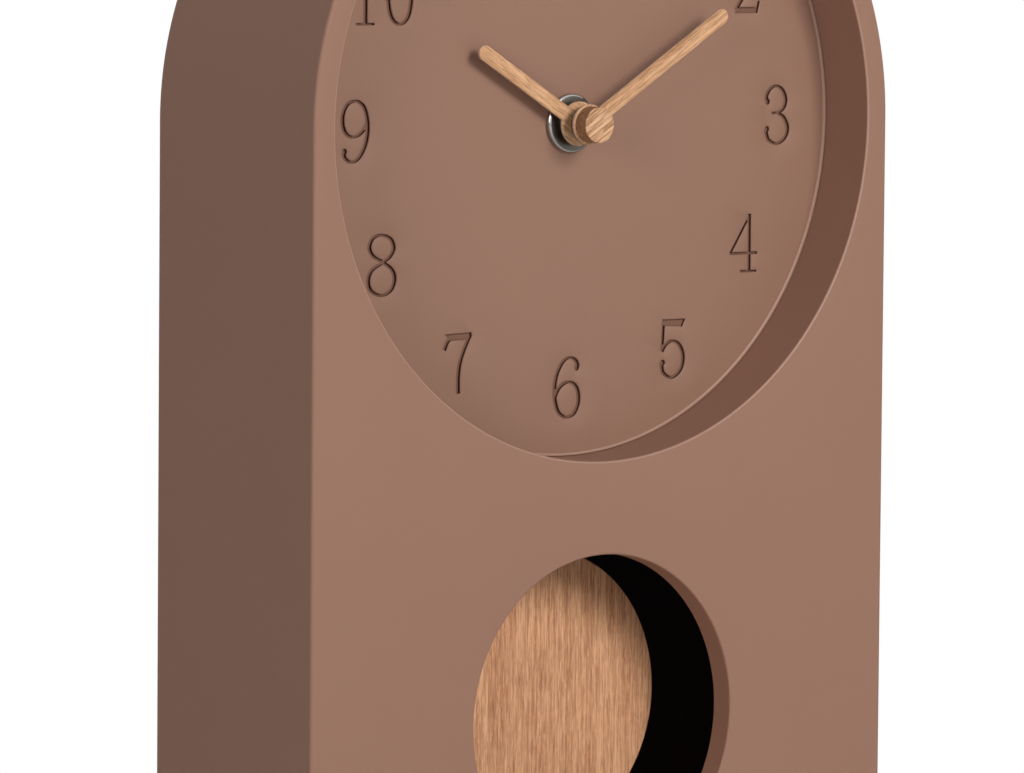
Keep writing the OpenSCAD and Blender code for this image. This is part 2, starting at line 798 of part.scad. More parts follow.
module minute_hand() {
    color(oak_colour)
    slab(minute_hand_depth, minute_hand_back)
        difference() {
            rotate(-minute_turn) hand_outline(minute_reach, minute_disc_r);
            circle(arbor_seat_r + seat_gap, $fn = 32);
        }
    color(steel_colour)
    ring(collet_r, arbor_r + seat_gap, minute_hand_back - eps, minute_hand_back + collet_t);
}

module hand_cap() {
    bevel = 0.25;
    color(oak_colour)
    turned([
        [0, cap_front], [cap_r - bevel, cap_front], [cap_r, cap_front + bevel],
        [cap_r, minute_hand_depth], [arbor_nose_r + seat_gap, minute_hand_depth],
        [arbor_nose_r + seat_gap, cap_front + 1 - seat_gap], [0, cap_front + 1 - seat_gap]
    ]);
}

module hour_wheel() {
    bore = arbor_r + run_gap;
    color(resin_colour) {
        turned([
            [bore, hour_hand_depth], [pipe_seat_r, hour_hand_depth],
            [pipe_seat_r, hour_hand_back], [pipe_r, hour_hand_back],
            [pipe_r, hour_plane], [bore, hour_plane]
        ]);
        slab(hour_plane, hour_plane + motion_t)
            gear(hour_wheel_z, hour_module,
                mesh_turn(minute_bearing + 180, 0, minute_pinion_z, hour_wheel_z), bore);
    }
}

module hour_hand() {
    color(oak_colour)
    slab(hour_hand_depth, hour_hand_back)
        difference() {
            rotate(-hour_turn) hand_outline(hour_reach, hour_disc_r);
            circle(pipe_seat_r + seat_gap, $fn = 48);
        }
}

minute_wheel_turn = mesh_turn(minute_bearing, 0, cannon_z, minute_wheel_z);
module minute_wheel() {
    bore = pivot_end_r * 2 + run_gap;
    color(resin_colour) {
        slab(cannon_plane, cannon_plane + motion_t, minute_wheel_at)
            gear(minute_wheel_z, cannon_module, minute_wheel_turn, bore);
        slab(hour_plane - 0.3, cannon_plane, minute_wheel_at)
            gear(minute_pinion_z, hour_module, 0, bore);
    }
}

setting_shaft_r = 1.5;
setting_knob_r = 4.6;
module setting_knob() {
    color(resin_colour) {
        slab(cannon_plane - 0.2, cannon_plane + motion_t + 0.2, setting_at)
            gear(setting_z, cannon_module,
                mesh_turn(setting_bearing, minute_wheel_turn, minute_wheel_z, setting_z));
        pin(setting_shaft_r, cannon_plane + motion_t, movement_back + 1, setting_at);
        slab(movement_back + 0.4, movement_back + 4, setting_at)
            union() {
                circle(setting_knob_r - 0.4);
                for (k = [0 : 17]) rotate(k * 20) translate([setting_knob_r - 0.5, 0]) circle(0.5, $fn = 16);
            }
    }
}

// An arbor with thin pivots in the gear plate and the rear housing
module train_arbor(at, r = 0.8) {
    turned([
        [0, plate_front + 0.1], [pivot_end_r, plate_front + 0.1],
        [pivot_end_r, plate_back + 0.3], [r, plate_back + 0.3],
        [r, room_back - 0.3], [pivot_end_r, room_back - 0.3],
        [pivot_end_r, room_back + 0.9], [0, room_back + 0.9]
    ], at, $fn = 32);
}

// A train wheel: its arbor, the driven wheel in one plane and its own pinion in another
module train_wheel(at, z, m, turn, plane, pinion_m, pinion_plane, arbor_r = 0.8) {
    color(resin_colour) {
        train_arbor(at, arbor_r);
        slab(plane, plane + wheel_t, at) gear(z, m, turn);
        slab(pinion_plane - 0.2, pinion_plane + wheel_t + 0.2, at) gear(leaf_z, pinion_m, 0);
    }
}

module rotor_pinion() {
    color(resin_colour) {
        difference() {
            train_arbor(rotor_at);
            ring(2, pivot_end_r, magnet_front, magnet_front + magnet_t, rotor_at);
        }
        slab(fifth_plane - 0.2, fifth_plane + wheel_t + 0.2, rotor_at) gear(rotor_z, train_module, 0);
    }
}

module rotor_magnet() {
    color(steel_colour)
    ring(rotor_r, pivot_end_r + seat_gap, magnet_front, magnet_front + magnet_t, rotor_at);
}

module fifth_wheel() {
    train_wheel(fifth_at, fifth_z, train_module, mesh_turn(rotor_bearing + 180, 0, rotor_z, fifth_z),
        fifth_plane, fourth_module, fourth_plane);
}

module fourth_wheel() {
    train_wheel(fourth_at, fourth_z, fourth_module, mesh_turn(fifth_bearing + 180, 0, leaf_z, fourth_z),
        fourth_plane, train_module, third_plane, pivot_end_r);
}

module third_wheel() {
    train_wheel(third_at, third_z, train_module, mesh_turn(fourth_bearing + 180, 0, leaf_z, third_z),
        third_plane, train_module, centre_plane);
}

module centre_wheel() {
    bore = arbor_thin_r + run_gap;
    color(brass_colour) {
        slab(centre_plane, centre_plane + wheel_t)
            gear(centre_z, train_module, mesh_turn(third_bearing + 180, 0, leaf_z, centre_z), bore);
        ring(2.2, bore, plate_back + 0.2, third_plane - 0.2);
        ring(1.4, bore, plate_back + 0.2, centre_plane + eps);
    }
}

module stator() {
    color(steel_colour)
    slab(stator_front, stator_front + stator_t)
        difference() {
            union() {
                translate(rotor_at) circle(rotor_r + 1.8);
                translate([leg_left, rotor_at[1] - 1.5]) square([leg_right + leg_w - leg_left, 3]);
                for (x = [leg_left, leg_right]) {
                    translate([x, rotor_at[1] - 1.5]) square([leg_w, coil_z + core_h / 2 - rotor_at[1] + 1.5]);
                }
                translate([leg_left, coil_z - core_h / 2]) square([leg_right + leg_w - leg_left, core_h]);
            }
            translate(rotor_at) circle(rotor_r + 0.6);
        }
}

// Turns children from along Z to along X at the coil's axis
module coil_axis(x) {
    translate([shaft_side + x, front_y + stator_front + stator_t / 2, dial_z + coil_z]) rotate([0, 90, 0]) children();
}

module coil_bobbin() {
    color(black_colour)
    difference() {
        union() {
            coil_axis(coil_left) cylinder(r = coil_flange_r, h = coil_flange_t);
            coil_axis(coil_left) cylinder(r = bobbin_r, h = coil_right - coil_left);
            coil_axis(coil_right - coil_flange_t) cylinder(r = coil_flange_r, h = coil_flange_t);
        }
        slab(stator_front - seat_gap, stator_front + stator_t + seat_gap)
            translate([coil_left - past, coil_z - core_h / 2 - seat_gap])
                square([coil_right - coil_left + 2 * past, core_h + 2 * seat_gap]);
    }
}

module coil_winding() {
    color(copper_colour)
    coil_axis(coil_left + coil_flange_t)
        difference() {
            cylinder(r = coil_r, h = coil_right - coil_left - 2 * coil_flange_t);
            translate([0, 0, -past]) cylinder(r = bobbin_r, h = coil_right - coil_left + 2 * past);
        }
}

board_t = 1;
board_back = room_back - 0.9;
board_front = board_back - board_t;
board_left = -housing_half + 0.7;
board_low = 2;
board_w = 11.5;
board_h = 17;
board_posts = [[board_left + 2, board_low + 2], [board_left + board_w - 2, board_low + board_h - 2]];
module circuit_board() {
    color("#2f6b46")
    slab(board_front, board_back) translate([board_left, board_low]) square([board_w, board_h]);
}

crystal_r = 1;
crystal_l = 6;
module quartz_crystal() {
    color(steel_colour)
    translate([shaft_side + board_left + board_w / 2, front_y + board_front - crystal_r, dial_z + board_low + 5])
        cylinder(r = crystal_r, h = crystal_l);
}

cell_right = housing_half - contact_t - contact_gap;
module battery_cell() {
    color("#6d7278")
    translate([shaft_side + cell_right - cell_l, front_y + cell_depth, dial_z + cell_z]) rotate([0, 90, 0]) {
        cylinder(r = cell_r, h = cell_l - nub_l);
        cylinder(r = 2.75, h = cell_l);
    }
}

contact_h = 9;
contact_front = split_depth + contact_gap;
module battery_contact_plus() {
    color(steel_colour)
    slab(contact_front, cell_depth + contact_h / 2)
        translate([housing_half - contact_t, cell_z - contact_h / 2]) square([contact_t, contact_h]);
}

module battery_contact_minus() {
    wall_x = -housing_half;
    plate_x = wall_x + contact_t;
    tip_x = cell_right - cell_l - contact_gap;
    end_y = contact_h / 2;
    color(steel_colour)
    slab(contact_front, cell_depth + end_y)
        translate([0, cell_z])
            polygon([
                [wall_x, -end_y], [plate_x, -end_y], [tip_x, -contact_t], [tip_x, contact_t],
                [plate_x + 2 * contact_t, end_y - 1], [plate_x + contact_t, end_y - 1],
                [tip_x - contact_t, 0.2], [tip_x - contact_t, -0.2],
                [plate_x, -end_y + 3 * contact_t], [plate_x, end_y], [wall_x, end_y]
            ]);
}

magnet_at = pivot_at - [0, magnet_drop];
drive_coil_back = room_back;
module drive_coil_core() {
    color(resin_colour)
    turned([
        [0, drive_coil_back - drive_coil_t - 0.6], [2.5, drive_coil_back - drive_coil_t - 0.6],
        [2.5, drive_coil_back - 0.6], [6, drive_coil_back - 0.6], [6, drive_coil_back], [0, drive_coil_back]
    ], magnet_at);
}

module drive_coil_winding() {
    color(copper_colour)
    ring(5.6, 2.5 + seat_gap, drive_coil_back - drive_coil_t - 0.4, drive_coil_back - 0.6, magnet_at);
}

module pendulum_pivot_pin() {
    color(steel_colour)
    pin(pivot_r, room_front - 1, room_back + 1, pivot_at);
}

// The seat for the rod, shared by the hanger and the clip
module rod_channel(top, bottom) {
    slab(rod_depth - seat_gap, rod_depth + rod_t + seat_gap)
        translate([-rod_w / 2 - seat_gap, bottom]) square([rod_w + 2 * seat_gap, top - bottom]);
}

module pendulum_hanger() {
    color(resin_colour)
    difference() {
        slab(hanger_front, hanger_front + hanger_t) {
            translate(pivot_at) circle(hanger_hub_r);
            translate([-hanger_w / 2, hanger_end]) square([hanger_w, -pivot_drop - hanger_end]);
        }
        pin(pivot_r + run_gap, hanger_front - past, hanger_front + hanger_t + past, pivot_at);
        rod_channel(rod_top + seat_gap, hanger_end - past);
    }
}

module drive_magnet() {
    color(steel_colour)
    pin(drive_magnet_r, hanger_front + hanger_t, hanger_front + hanger_t + drive_magnet_t, magnet_at);
}

module pendulum_rod() {
    color(steel_colour)
    slab(rod_depth, rod_depth + rod_t)
        translate([-rod_w / 2, rod_end]) square([rod_w, rod_top - rod_end]);
}

module bob_disc() {
    color(oak_colour)
    slab(bob_depth, bob_depth + bob_t, [0, -bob_drop]) circle(bob_r, $fn = 180);
}

module bob_clip() {
    color(black_colour)
    difference() {
        slab(bob_depth + bob_t, bob_depth + bob_t + clip_t, [0, -bob_drop])
            translate([-clip_w / 2, -clip_h / 2]) square([clip_w, clip_h]);
        rod_channel(-bob_drop + clip_h, -bob_drop - clip_h);
    }
}

case_shell();
dial_plate();
back_panel();
back_panel_screws();
foot_pads();
movement_front_housing();
movement_rear_housing();
gear_plate();
movement_screws();
fixing_bushing();
rubber_washer();
nut_washer();
fixing_nut();
minute_arbor();
minute_hand();
hand_cap();
hour_wheel();
hour_hand();
minute_wheel();
setting_knob();
rotor_pinion();
rotor_magnet();
fifth_wheel();
fourth_wheel();
third_wheel();
centre_wheel();
stator();
coil_bobbin();
coil_winding();
circuit_board();
quartz_crystal();
battery_cell();
battery_contact_plus();
battery_contact_minus();
drive_coil_core();
drive_coil_winding();
pendulum_pivot_pin();
pendulum_hanger();
drive_magnet();
pendulum_rod();
bob_disc();
bob_clip();
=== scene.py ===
"""Looks of an arched desk clock with a sunk dial, wooden hands and a pendulum behind a round window."""
import logging
import math
from dataclasses import dataclass
from enum import Enum
from typing import Any

import bmesh
import bpy
import numpy as np
from mathutils import Matrix, Vector
from mathutils.geometry import delaunay_2d_cdt


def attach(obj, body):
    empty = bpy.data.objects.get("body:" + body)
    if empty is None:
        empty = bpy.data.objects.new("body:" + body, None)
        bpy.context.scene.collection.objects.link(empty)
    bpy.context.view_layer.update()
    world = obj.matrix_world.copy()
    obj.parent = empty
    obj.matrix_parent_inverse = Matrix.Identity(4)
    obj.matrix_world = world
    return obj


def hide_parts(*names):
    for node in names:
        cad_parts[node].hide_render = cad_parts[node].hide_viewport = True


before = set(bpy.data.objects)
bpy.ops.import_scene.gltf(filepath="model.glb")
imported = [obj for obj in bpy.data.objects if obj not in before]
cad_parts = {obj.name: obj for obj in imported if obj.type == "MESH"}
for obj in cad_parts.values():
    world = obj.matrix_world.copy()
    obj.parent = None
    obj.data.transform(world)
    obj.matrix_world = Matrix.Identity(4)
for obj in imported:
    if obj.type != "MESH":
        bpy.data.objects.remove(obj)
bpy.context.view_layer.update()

log = logging.getLogger("desk_clock")

MM = 0.001
FRONT_Y = -32.5
DIAL_Z = 210.0
SHAFT_Z = 209.4
SHAFT = (0.8, SHAFT_Z)
Colour = tuple[float, float, float]
Triple = tuple[float, float, float]
Pair = tuple[float, float]
WELD = 2e-6  # metres within which points merge
SLIVER = 1e-7  # metres under which an edge is dropped
RAY_OFFSET = 1.7e-7  # millimetres that keep a test ray off the corners
TO_SHAFT: Triple = (-SHAFT[0] * MM, 0.0, -SHAFT[1] * MM)


# ---------------------------------------------------------------- surfaces
def lay(x: np.ndarray, depth: np.ndarray, z: np.ndarray) -> np.ndarray:
    """Places front-view points at a depth behind the front face.

    Args:
        x: Places across, in mm.
        depth: Depths behind the front face, in mm.
        z: Heights above the table, in mm.

    Returns:
        An array of points (x, front + depth, z) in metres, with the broadcast shape of the three.
    """
    x, depth, z = np.broadcast_arrays(x, depth, z)
    return np.stack([x, FRONT_Y + depth, z], -1) * MM


def circle(radius: float, count: int, at: Pair = (0.0, 0.0)) -> np.ndarray:
    """Points of a circle: centre + radius * (sin t, cos t) for t over one turn."""
    t = np.arange(count) * 2 * np.pi / count
    return np.stack([at[0] + radius * np.sin(t), at[1] + radius * np.cos(t)], -1)


def arc(centre: Pair, radius: float, start: float, end: float, steps: int) -> np.ndarray:
    """Points of an arc: centre + radius * (cos t, sin t) for t from start to end, in degrees."""
    t = np.radians(np.linspace(start, end, steps + 1))
    return np.array(centre) + radius * np.stack([np.cos(t), np.sin(t)], -1)


def edges_of(loops: list[np.ndarray]) -> np.ndarray:
    """Pairs of point numbers along closed loops that lie one after the other in one array.

    Args:
        loops: The loops.

    Returns:
        One row of two numbers for each edge.
    """
    parts, start = [], 0
    for loop in loops:
        here = np.arange(len(loop)) + start
        parts.append(np.stack([here, np.roll(here, -1)], -1))
        start += len(loop)
    return np.concatenate(parts)


def sides_of(triangles: np.ndarray) -> np.ndarray:
    """The sides of triangles as pairs of point numbers: all first sides, then all second, then all third."""
    return np.concatenate([triangles[:, [0, 1]], triangles[:, [1, 2]], triangles[:, [2, 0]]])


def signed_area(loop: np.ndarray) -> float:
    """Area of a loop, negative where it runs clockwise: half the sum of the cross products of its edges."""
    ahead = np.roll(loop, -1, 0)
    return float(np.sum(loop[:, 0] * ahead[:, 1] - ahead[:, 0] * loop[:, 1]) / 2)


def anticlockwise(loop: np.ndarray) -> np.ndarray:
    """The loop, turned round where it runs clockwise."""
    return loop if signed_area(loop) > 0 else loop[::-1]


def inside(points: np.ndarray, a: np.ndarray, b: np.ndarray) -> np.ndarray:
    """Tells which points a set of closed edges goes round.

    A point is inside where a ray along +x crosses an odd number of edges. The ray is a hair off the point's
    height, so that it meets no corner.

    Args:
        points: Points to test.
        a: First ends of the edges.
        b: Second ends of the edges.

    Returns:
        One truth value for each point.
    """
    px, py = points[:, None, 0], points[:, None, 1] + RAY_OFFSET
    spans = (a[None, :, 1] > py) != (b[None, :, 1] > py)
    rise = np.where(b[:, 1] == a[:, 1], 1.0, b[:, 1] - a[:, 1])
    at = a[None, :, 0] + (py - a[None, :, 1]) / rise[None] * (b[:, 0] - a[:, 0])[None]
    return (spans & (px < at)).sum(1) % 2 == 1


def triangulate(points: np.ndarray, edges: np.ndarray, faces: list[list[int]] | None = None
                ) -> tuple[np.ndarray, np.ndarray, list[list[int]]]:
    """Delaunay triangles of points with edges that must stay.

    Args:
        points: Points on a plane.
        edges: Pairs of point numbers.
        faces: Polygons whose numbers are kept on the triangles that they cover.

    Returns:
        The points, the triangles, and for each triangle the polygons that cover it.
    """
    out = delaunay_2d_cdt([Vector(p) for p in points.tolist()], edges.tolist(), faces or [], 0, 1e-6)
    return np.array([tuple(v) for v in out[0]]), np.array(out[2]), out[5]


class Skin:
    """The patches of one piece, gathered as arrays and joined into one closed mesh."""

    def __init__(self) -> None:
        """Starts with no patches."""
        self.points: list[np.ndarray] = []
        self.faces: list[list[int]] = []
        self.smooth: list[bool] = []
        self.finishes: list[int] = []
        self.count = 0

    def add(self, points: np.ndarray, faces: np.ndarray, smooth: bool, finish: int = 0) -> None:
        """Adds a patch.

        Args:
            points: Its points, in metres.
            faces: Its faces as rows of point numbers.
            smooth: Whether it is shaded round.
            finish: Number of its finish among the piece's finishes.
        """
        self.points.append(points.reshape(-1, 3))
        self.faces.extend((faces + self.count).tolist())
        self.smooth.extend([smooth] * len(faces))
        self.finishes.extend([finish] * len(faces))
        self.count += len(points.reshape(-1, 3))

    def grid(self, points: np.ndarray, wrap: bool = True, smooth: bool = True, finish: int = 0) -> None:
        """Adds a surface of two parameters, points[u, v], as quads.

        Args:
            points: Points over rows u and columns v, in metres.
            wrap: Whether the last column meets the first.
            smooth: Whether it is shaded round.
            finish: Number of its finish among the piece's finishes.
        """
        rows, cols = points.shape[:2]
        u, v = np.meshgrid(np.arange(rows - 1), np.arange(cols if wrap else cols - 1), indexing="ij")
        w = (v + 1) % cols
        quads = np.stack([u * cols + v, u * cols + w, (u + 1) * cols + w, (u + 1) * cols + v], -1)
        self.add(points, quads.reshape(-1, 4), smooth, finish)

    def turn(self, profile: np.ndarray, at: Pair, count: int = 96, smooth: bool = True,
             finish: int = 0) -> None:
        """Adds a profile carried round an axis along the depth.

        Point (u, v) is centre + radius[u] * (sin t, cos t) at depth[u], with t = v of one turn.

        Args:
            profile: Rows of (radius, depth), in mm.
            at: The axis on the front view, in mm.
            count: Points round the axis.
            smooth: Whether it is shaded round.
            finish: Number of its finish among the piece's finishes.
        """
        ring = circle(1.0, count)
        radius, depth = profile[:, 0, None], profile[:, 1, None]
        spots = lay(at[0] + radius * ring[None, :, 0], depth, at[1] + radius * ring[None, :, 1])
        self.grid(spots, smooth=smooth, finish=finish)

    def flat(self, loops: list[np.ndarray], depth: float) -> None:
        """Adds the plane between closed loops, at one depth.

        Args:
            loops: Front-view loops in mm: the outline first, then the holes.
            depth: Depth behind the front face, in mm.
        """
        points, edges = np.concatenate(loops), edges_of(loops)
        flat, triangles, _ = triangulate(points, edges)
        a, b = points[edges[:, 0]], points[edges[:, 1]]
        kept = triangles[inside(flat[triangles].mean(1), a, b)]
        self.add(lay(flat[:, 0], depth, flat[:, 1]), kept, False)

    def mesh(self, name: str, *finishes: bpy.types.Material, sharp: float = 40.0) -> bpy.types.Object:
        """Joins the patches where they meet and makes the piece.

        Args:
            name: The piece's name.
            finishes: Its materials.
            sharp: Angle in degrees past which an edge stays sharp.

        Returns:
            The piece, at the origin, with its faces outward.
        """
        data = bpy.data.meshes.new(name)
        data.from_pydata(np.concatenate(self.points).tolist(), [], self.faces)
        data.polygons.foreach_set("use_smooth", self.smooth)
        data.polygons.foreach_set("material_index", self.finishes)
        work = bmesh.new()
        work.from_mesh(data)
        bmesh.ops.remove_doubles(work, verts=work.verts, dist=WELD)
        bmesh.ops.dissolve_degenerate(work, edges=work.edges, dist=SLIVER)
        loose = [v for v in work.verts if not v.link_faces]
        bmesh.ops.delete(work, geom=loose, context="VERTS")
        bmesh.ops.recalc_face_normals(work, faces=work.faces)
        open_edges = sum(not e.is_manifold for e in work.edges)
        if open_edges:
            log.warning("%s has %d open edges", name, open_edges)
        work.to_mesh(data)
        work.free()
        data.set_sharp_from_angle(angle=math.radians(sharp))
        for finish in finishes:
            data.materials.append(finish)
        piece = bpy.data.objects.new(name, data)
        bpy.context.scene.collection.objects.link(piece)
        return piece


def join(*parts: Any) -> np.ndarray:
    """Joins profile parts, each a row or rows of two numbers, into one array."""
    return np.concatenate([np.atleast_2d(np.asarray(p, float)) for p in parts])


# ---------------------------------------------------------------- shader maths
class Socket:
    """One output of a node tree, on which Python's operators add Math nodes."""

    def __init__(self, graph: "Nodes", link: bpy.types.NodeSocket) -> None:
        """Wraps an output of a graph."""
        self.graph = graph
        self.link = link

    def _math(self, operation: str, a: Any, b: Any) -> "Socket":
        """Adds one Math node on two values or sockets."""
        return self.graph.node("ShaderNodeMath", {"operation": operation}, {0: a, 1: b})

    def __add__(self, other: Any) -> "Socket":
        """Self plus other."""
        return self._math("ADD", self, other)

    __radd__ = __add__

    def __mul__(self, other: Any) -> "Socket":
        """Self times other."""
        return self._math("MULTIPLY", self, other)

    __rmul__ = __mul__

    def __sub__(self, other: Any) -> "Socket":
        """Self minus other."""
        return self._math("SUBTRACT", self, other)

    def __rsub__(self, other: Any) -> "Socket":
        """Other minus self."""
        return self._math("SUBTRACT", other, self)

    def above(self, edge: float, width: float) -> "Socket":
        """0 below edge, 1 past edge + width, and a smooth step between.

        Args:
            edge: The value where the step starts.
            width: How far the step reaches.

        Returns:
            The step's value.
        """
        return self.graph.node(
            "ShaderNodeMapRange", {"interpolation_type": "SMOOTHSTEP"},
            {"Value": self, "From Min": edge, "From Max": edge + width})


class Nodes:
    """A node tree that makes any node with its settings and links."""

    def __init__(self, tree: bpy.types.NodeTree) -> None:
        """Wraps a tree."""
        self.tree = tree

    def put(self, socket: bpy.types.NodeSocket, value: Any) -> None:
        """Links a Socket to an input, or sets the input to a value.

        Args:
            socket: The input.
            value: A Socket, a number or a tuple.
        """
        if isinstance(value, Socket):
            self.tree.links.new(value.link, socket)
        elif isinstance(value, tuple) and len(value) == 3 and socket.type == "RGBA":
            socket.default_value = (*value, 1.0)
        else:
            socket.default_value = value

    def node(self, kind: str, settings: dict[str, Any] | None = None,
             inputs: dict[Any, Any] | None = None, output: Any = 0) -> Socket:
        """Makes any node.

        Args:
            kind: The node's type.
            settings: Its properties.
            inputs: Values or Sockets for its inputs, by name or number.
            output: The output wanted, by name or number.

        Returns:
            That output.
        """
        made = self.tree.nodes.new(kind)
        for key, value in (settings or {}).items():
            setattr(made, key, value)
        for key, value in (inputs or {}).items():
            self.put(made.inputs[key], value)
        return Socket(self, made.outputs[output])


class Graph(Nodes):
    """The nodes of one material under its shader."""

    def __init__(self, name: str) -> None:
        """Starts a material with a Principled shader.

        Args:
            name: The material's name.
        """
        self.material = bpy.data.materials.new(name)
        self.material.use_nodes = True
        super().__init__(self.material.node_tree)
        self.shader = self.tree.nodes["Principled BSDF"]

    def place(self, scale: Triple = (1, 1, 1), turn: Triple = (0, 0, 0), shift: Triple = (0, 0, 0)) -> Socket:
        """Object coordinates in metres, shifted, turned by degrees, then scaled.

        Args:
            scale: Factors along the turned axes.
            turn: Turn about each axis, in degrees.
            shift: Added before the turn, in metres.

        Returns:
            The vector.
        """
        spot = self.node("ShaderNodeTexCoord", output="Object")
        angles = tuple(math.radians(a) for a in turn)
        for name, value in (("Location", shift), ("Rotation", angles), ("Scale", scale)):
            spot = self.node("ShaderNodeMapping", {"vector_type": "POINT"}, {"Vector": spot, name: value})
        return spot

    def length(self, spot: Socket) -> Socket:
        """The length of a vector."""
        return self.node("ShaderNodeVectorMath", {"operation": "LENGTH"}, {0: spot}, "Value")

    def from_shaft(self) -> Socket:
        """Distance from the axis of the hand shaft, in metres."""
        return self.length(self.place((1, 0, 1), shift=TO_SHAFT))

    def noise(self, where: Socket, scale: float, detail: float = 3.0, rough: float = 0.5) -> Socket:
        """Cloudy noise from about 0 to 1.

        Args:
            where: The vector that it reads.
            scale: Clouds per metre.
            detail: Octaves.
            rough: Strength of the finer octaves.

        Returns:
            The value.
        """
        return self.node("ShaderNodeTexNoise", {"noise_dimensions": "3D"},
                         {"Vector": where, "Scale": scale, "Detail": detail, "Roughness": rough}, "Fac")

    def blend(self, share: Any, a: Any, b: Any) -> Socket:
        """Mixes two colours.

        Args:
            share: How much of b.
            a: The first colour.
            b: The second colour.

        Returns:
            The colour.
        """
        return self.node("ShaderNodeMix", {"data_type": "RGBA"}, {0: share, 6: a, 7: b}, 2)

    def bump(self, height: Socket, depth: float, strength: float = 1.0) -> None:
        """Feeds a height times depth to the shader's normal.

        Args:
            height: The height, about 0 to 1.
            depth: Metres for a height of 1.
            strength: The node's strength.
        """
        normal = self.node("ShaderNodeBump", None,
                           {"Height": height, "Distance": depth, "Strength": strength}, "Normal")
        self.put(self.shader.inputs["Normal"], normal)

    def dress(self, **values: Any) -> None:
        """Sets the shader's inputs, with _ for the spaces in their names."""
        for key, value in values.items():
            self.put(self.shader.inputs[key.replace("_", " ")], value)


def tone(code: str, factor: float = 1.0) -> Colour:
    """Linear colour of an sRGB hex code.

    Args:
        code: Six hex digits.
        factor: Factor on the linear values.

    Returns:
        Red, green and blue.
    """
    srgb = np.array([int(code[i:i + 2], 16) for i in (0, 2, 4)]) / 255
    linear = np.where(srgb <= 0.04045, srgb / 12.92, ((srgb + 0.055) / 1.055) ** 2.4)
    return tuple(float(c) for c in np.minimum(linear * factor, 1.0))


# ---------------------------------------------------------------- finishes
@dataclass(frozen=True)
class Finish:
    """A procedural finish with a main tone; each kind paints itself on a graph."""
    name: str
    code: str

    def tint(self, factor: float = 1.0) -> Colour:
        """The main tone, its linear values times a factor."""
        return tone(self.code, factor)

    def paint(self, g: Graph) -> None:
        """Adds the nodes of the finish.

        Args:
            g: The graph of its material.
        """
        raise NotImplementedError

    def make(self) -> bpy.types.Material:
        """Makes the material.

        Returns:
            The material, painted.
        """
        g = Graph(self.name)
        self.paint(g)
        return g.material


@dataclass(frozen=True)
class MattMoulding(Finish):
    """Moulded plastic with a fine spark-eroded skin."""
    rough: float = 0.5
    grain: float = 0.000012
    gloss: float = 0.4

    def paint(self, g: Graph) -> None:
        """Paints faint clouds of tone, fine specks and a fine skin.

        Args:
            g: The graph of its material.
        """
        spot = g.place()
        clouds = g.noise(spot, 35.0, 3.0)
        skin = g.noise(spot, 3200.0, 2.0, 0.6)
        specks = g.noise(spot, 5200.0, 1.0).above(0.68, 0.06)
        colour = g.blend(clouds, self.tint(0.98), self.tint(1.02))
        colour = g.blend(skin * 0.10, colour, self.tint(0.55))
        colour = g.blend(specks * 0.16, colour, self.tint(1.7))
        g.bump(skin + clouds * 0.3, self.grain, 0.6)
        g.dress(Base_Color=colour, Roughness=skin * 0.12 + (self.rough - 0.06), Specular_IOR_Level=self.gloss)


@dataclass(frozen=True)
class Oak(Finish):
    """Planed oak with straight grain, pale fibres and short open pores; darker beyond a set radius from the
    shaft, which paints shade on the side of a turned piece.
    """
    dark: str
    turn: float = 0.0
    fine: float = 1.0
    contrast: float = 1.0
    painted_shade_r: float = 1.0

    def streaks(self, g: Graph, across: float, along: float, detail: float = 2.0,
                rough: float = 0.6) -> Socket:
        """Noise drawn out along the grain.

        Args:
            g: The graph.
            across: Clouds per metre across the grain, before the cut's own factor.
            along: Clouds per metre along the grain.
            detail: Octaves.
            rough: Strength of the finer octaves.

        Returns:
            The value.
        """
        across *= self.fine
        return g.noise(g.place((across, across, along), (0.0, self.turn, 0.0), TO_SHAFT), 1.0, detail, rough)

    def paint(self, g: Graph) -> None:
        """Paints growth bands, fibres and pores, and painted shade past a radius from the shaft.

        Args:
            g: The graph of its material.
        """
        bands = self.streaks(g, 230, 9, rough=0.5)
        fibres = self.streaks(g, 1300, 45)
        flecks = self.streaks(g, 1900, 190)
        pores = self.streaks(g, 2500, 230, 1.0, 0.5).above(0.56, 0.07)
        share = (bands - 0.5) * 1.4 + (fibres - 0.5) * 2.4 + (flecks - 0.5) * 2.4
        share = share * self.contrast + 0.5
        colour = g.blend(share, self.tint(), tone(self.dark))
        colour = g.blend(flecks.above(0.56, 0.10) * 0.5, colour, self.tint(1.2))
        colour = g.blend(pores * 0.4 * self.contrast, colour, tone(self.dark, 0.5))
        # painted shade: beyond this radius from the shaft the wood is darkened
        side = g.from_shaft().above(self.painted_shade_r, 0.0001)
        colour = g.blend(side * 0.6, colour, tone(self.dark, 0.4))
        g.bump(fibres * 0.6 + flecks * 0.4 - pores * 0.8, 0.00004, 0.5)
        g.dress(Base_Color=colour, Roughness=fibres * 0.15 + 0.5, Specular_IOR_Level=0.35)


@dataclass(frozen=True)
class Metal(Finish):
    """Bare or plated metal, drawn along one axis where it is brushed."""
    rough: float = 0.25
    draw: Triple = (1.0, 1.0, 1.0)
    wear: float = 0.1

    def paint(self, g: Graph) -> None:
        """Paints drawn scratches, faint stains and uneven gloss.

        Args:
            g: The graph of its material.
        """
        lines = g.noise(g.place(tuple(1400 * d for d in self.draw)), 1.0, 3.0, 0.6)
        stains = g.noise(g.place(), 160.0, 3.0, 0.6)
        colour = g.blend(stains * 0.6, self.tint(), self.tint(0.78))
        g.bump(lines, 0.000006, 0.4)
        g.dress(Base_Color=colour, Metallic=1.0,
                Roughness=lines * self.wear + stains * self.wear + (self.rough - self.wear))


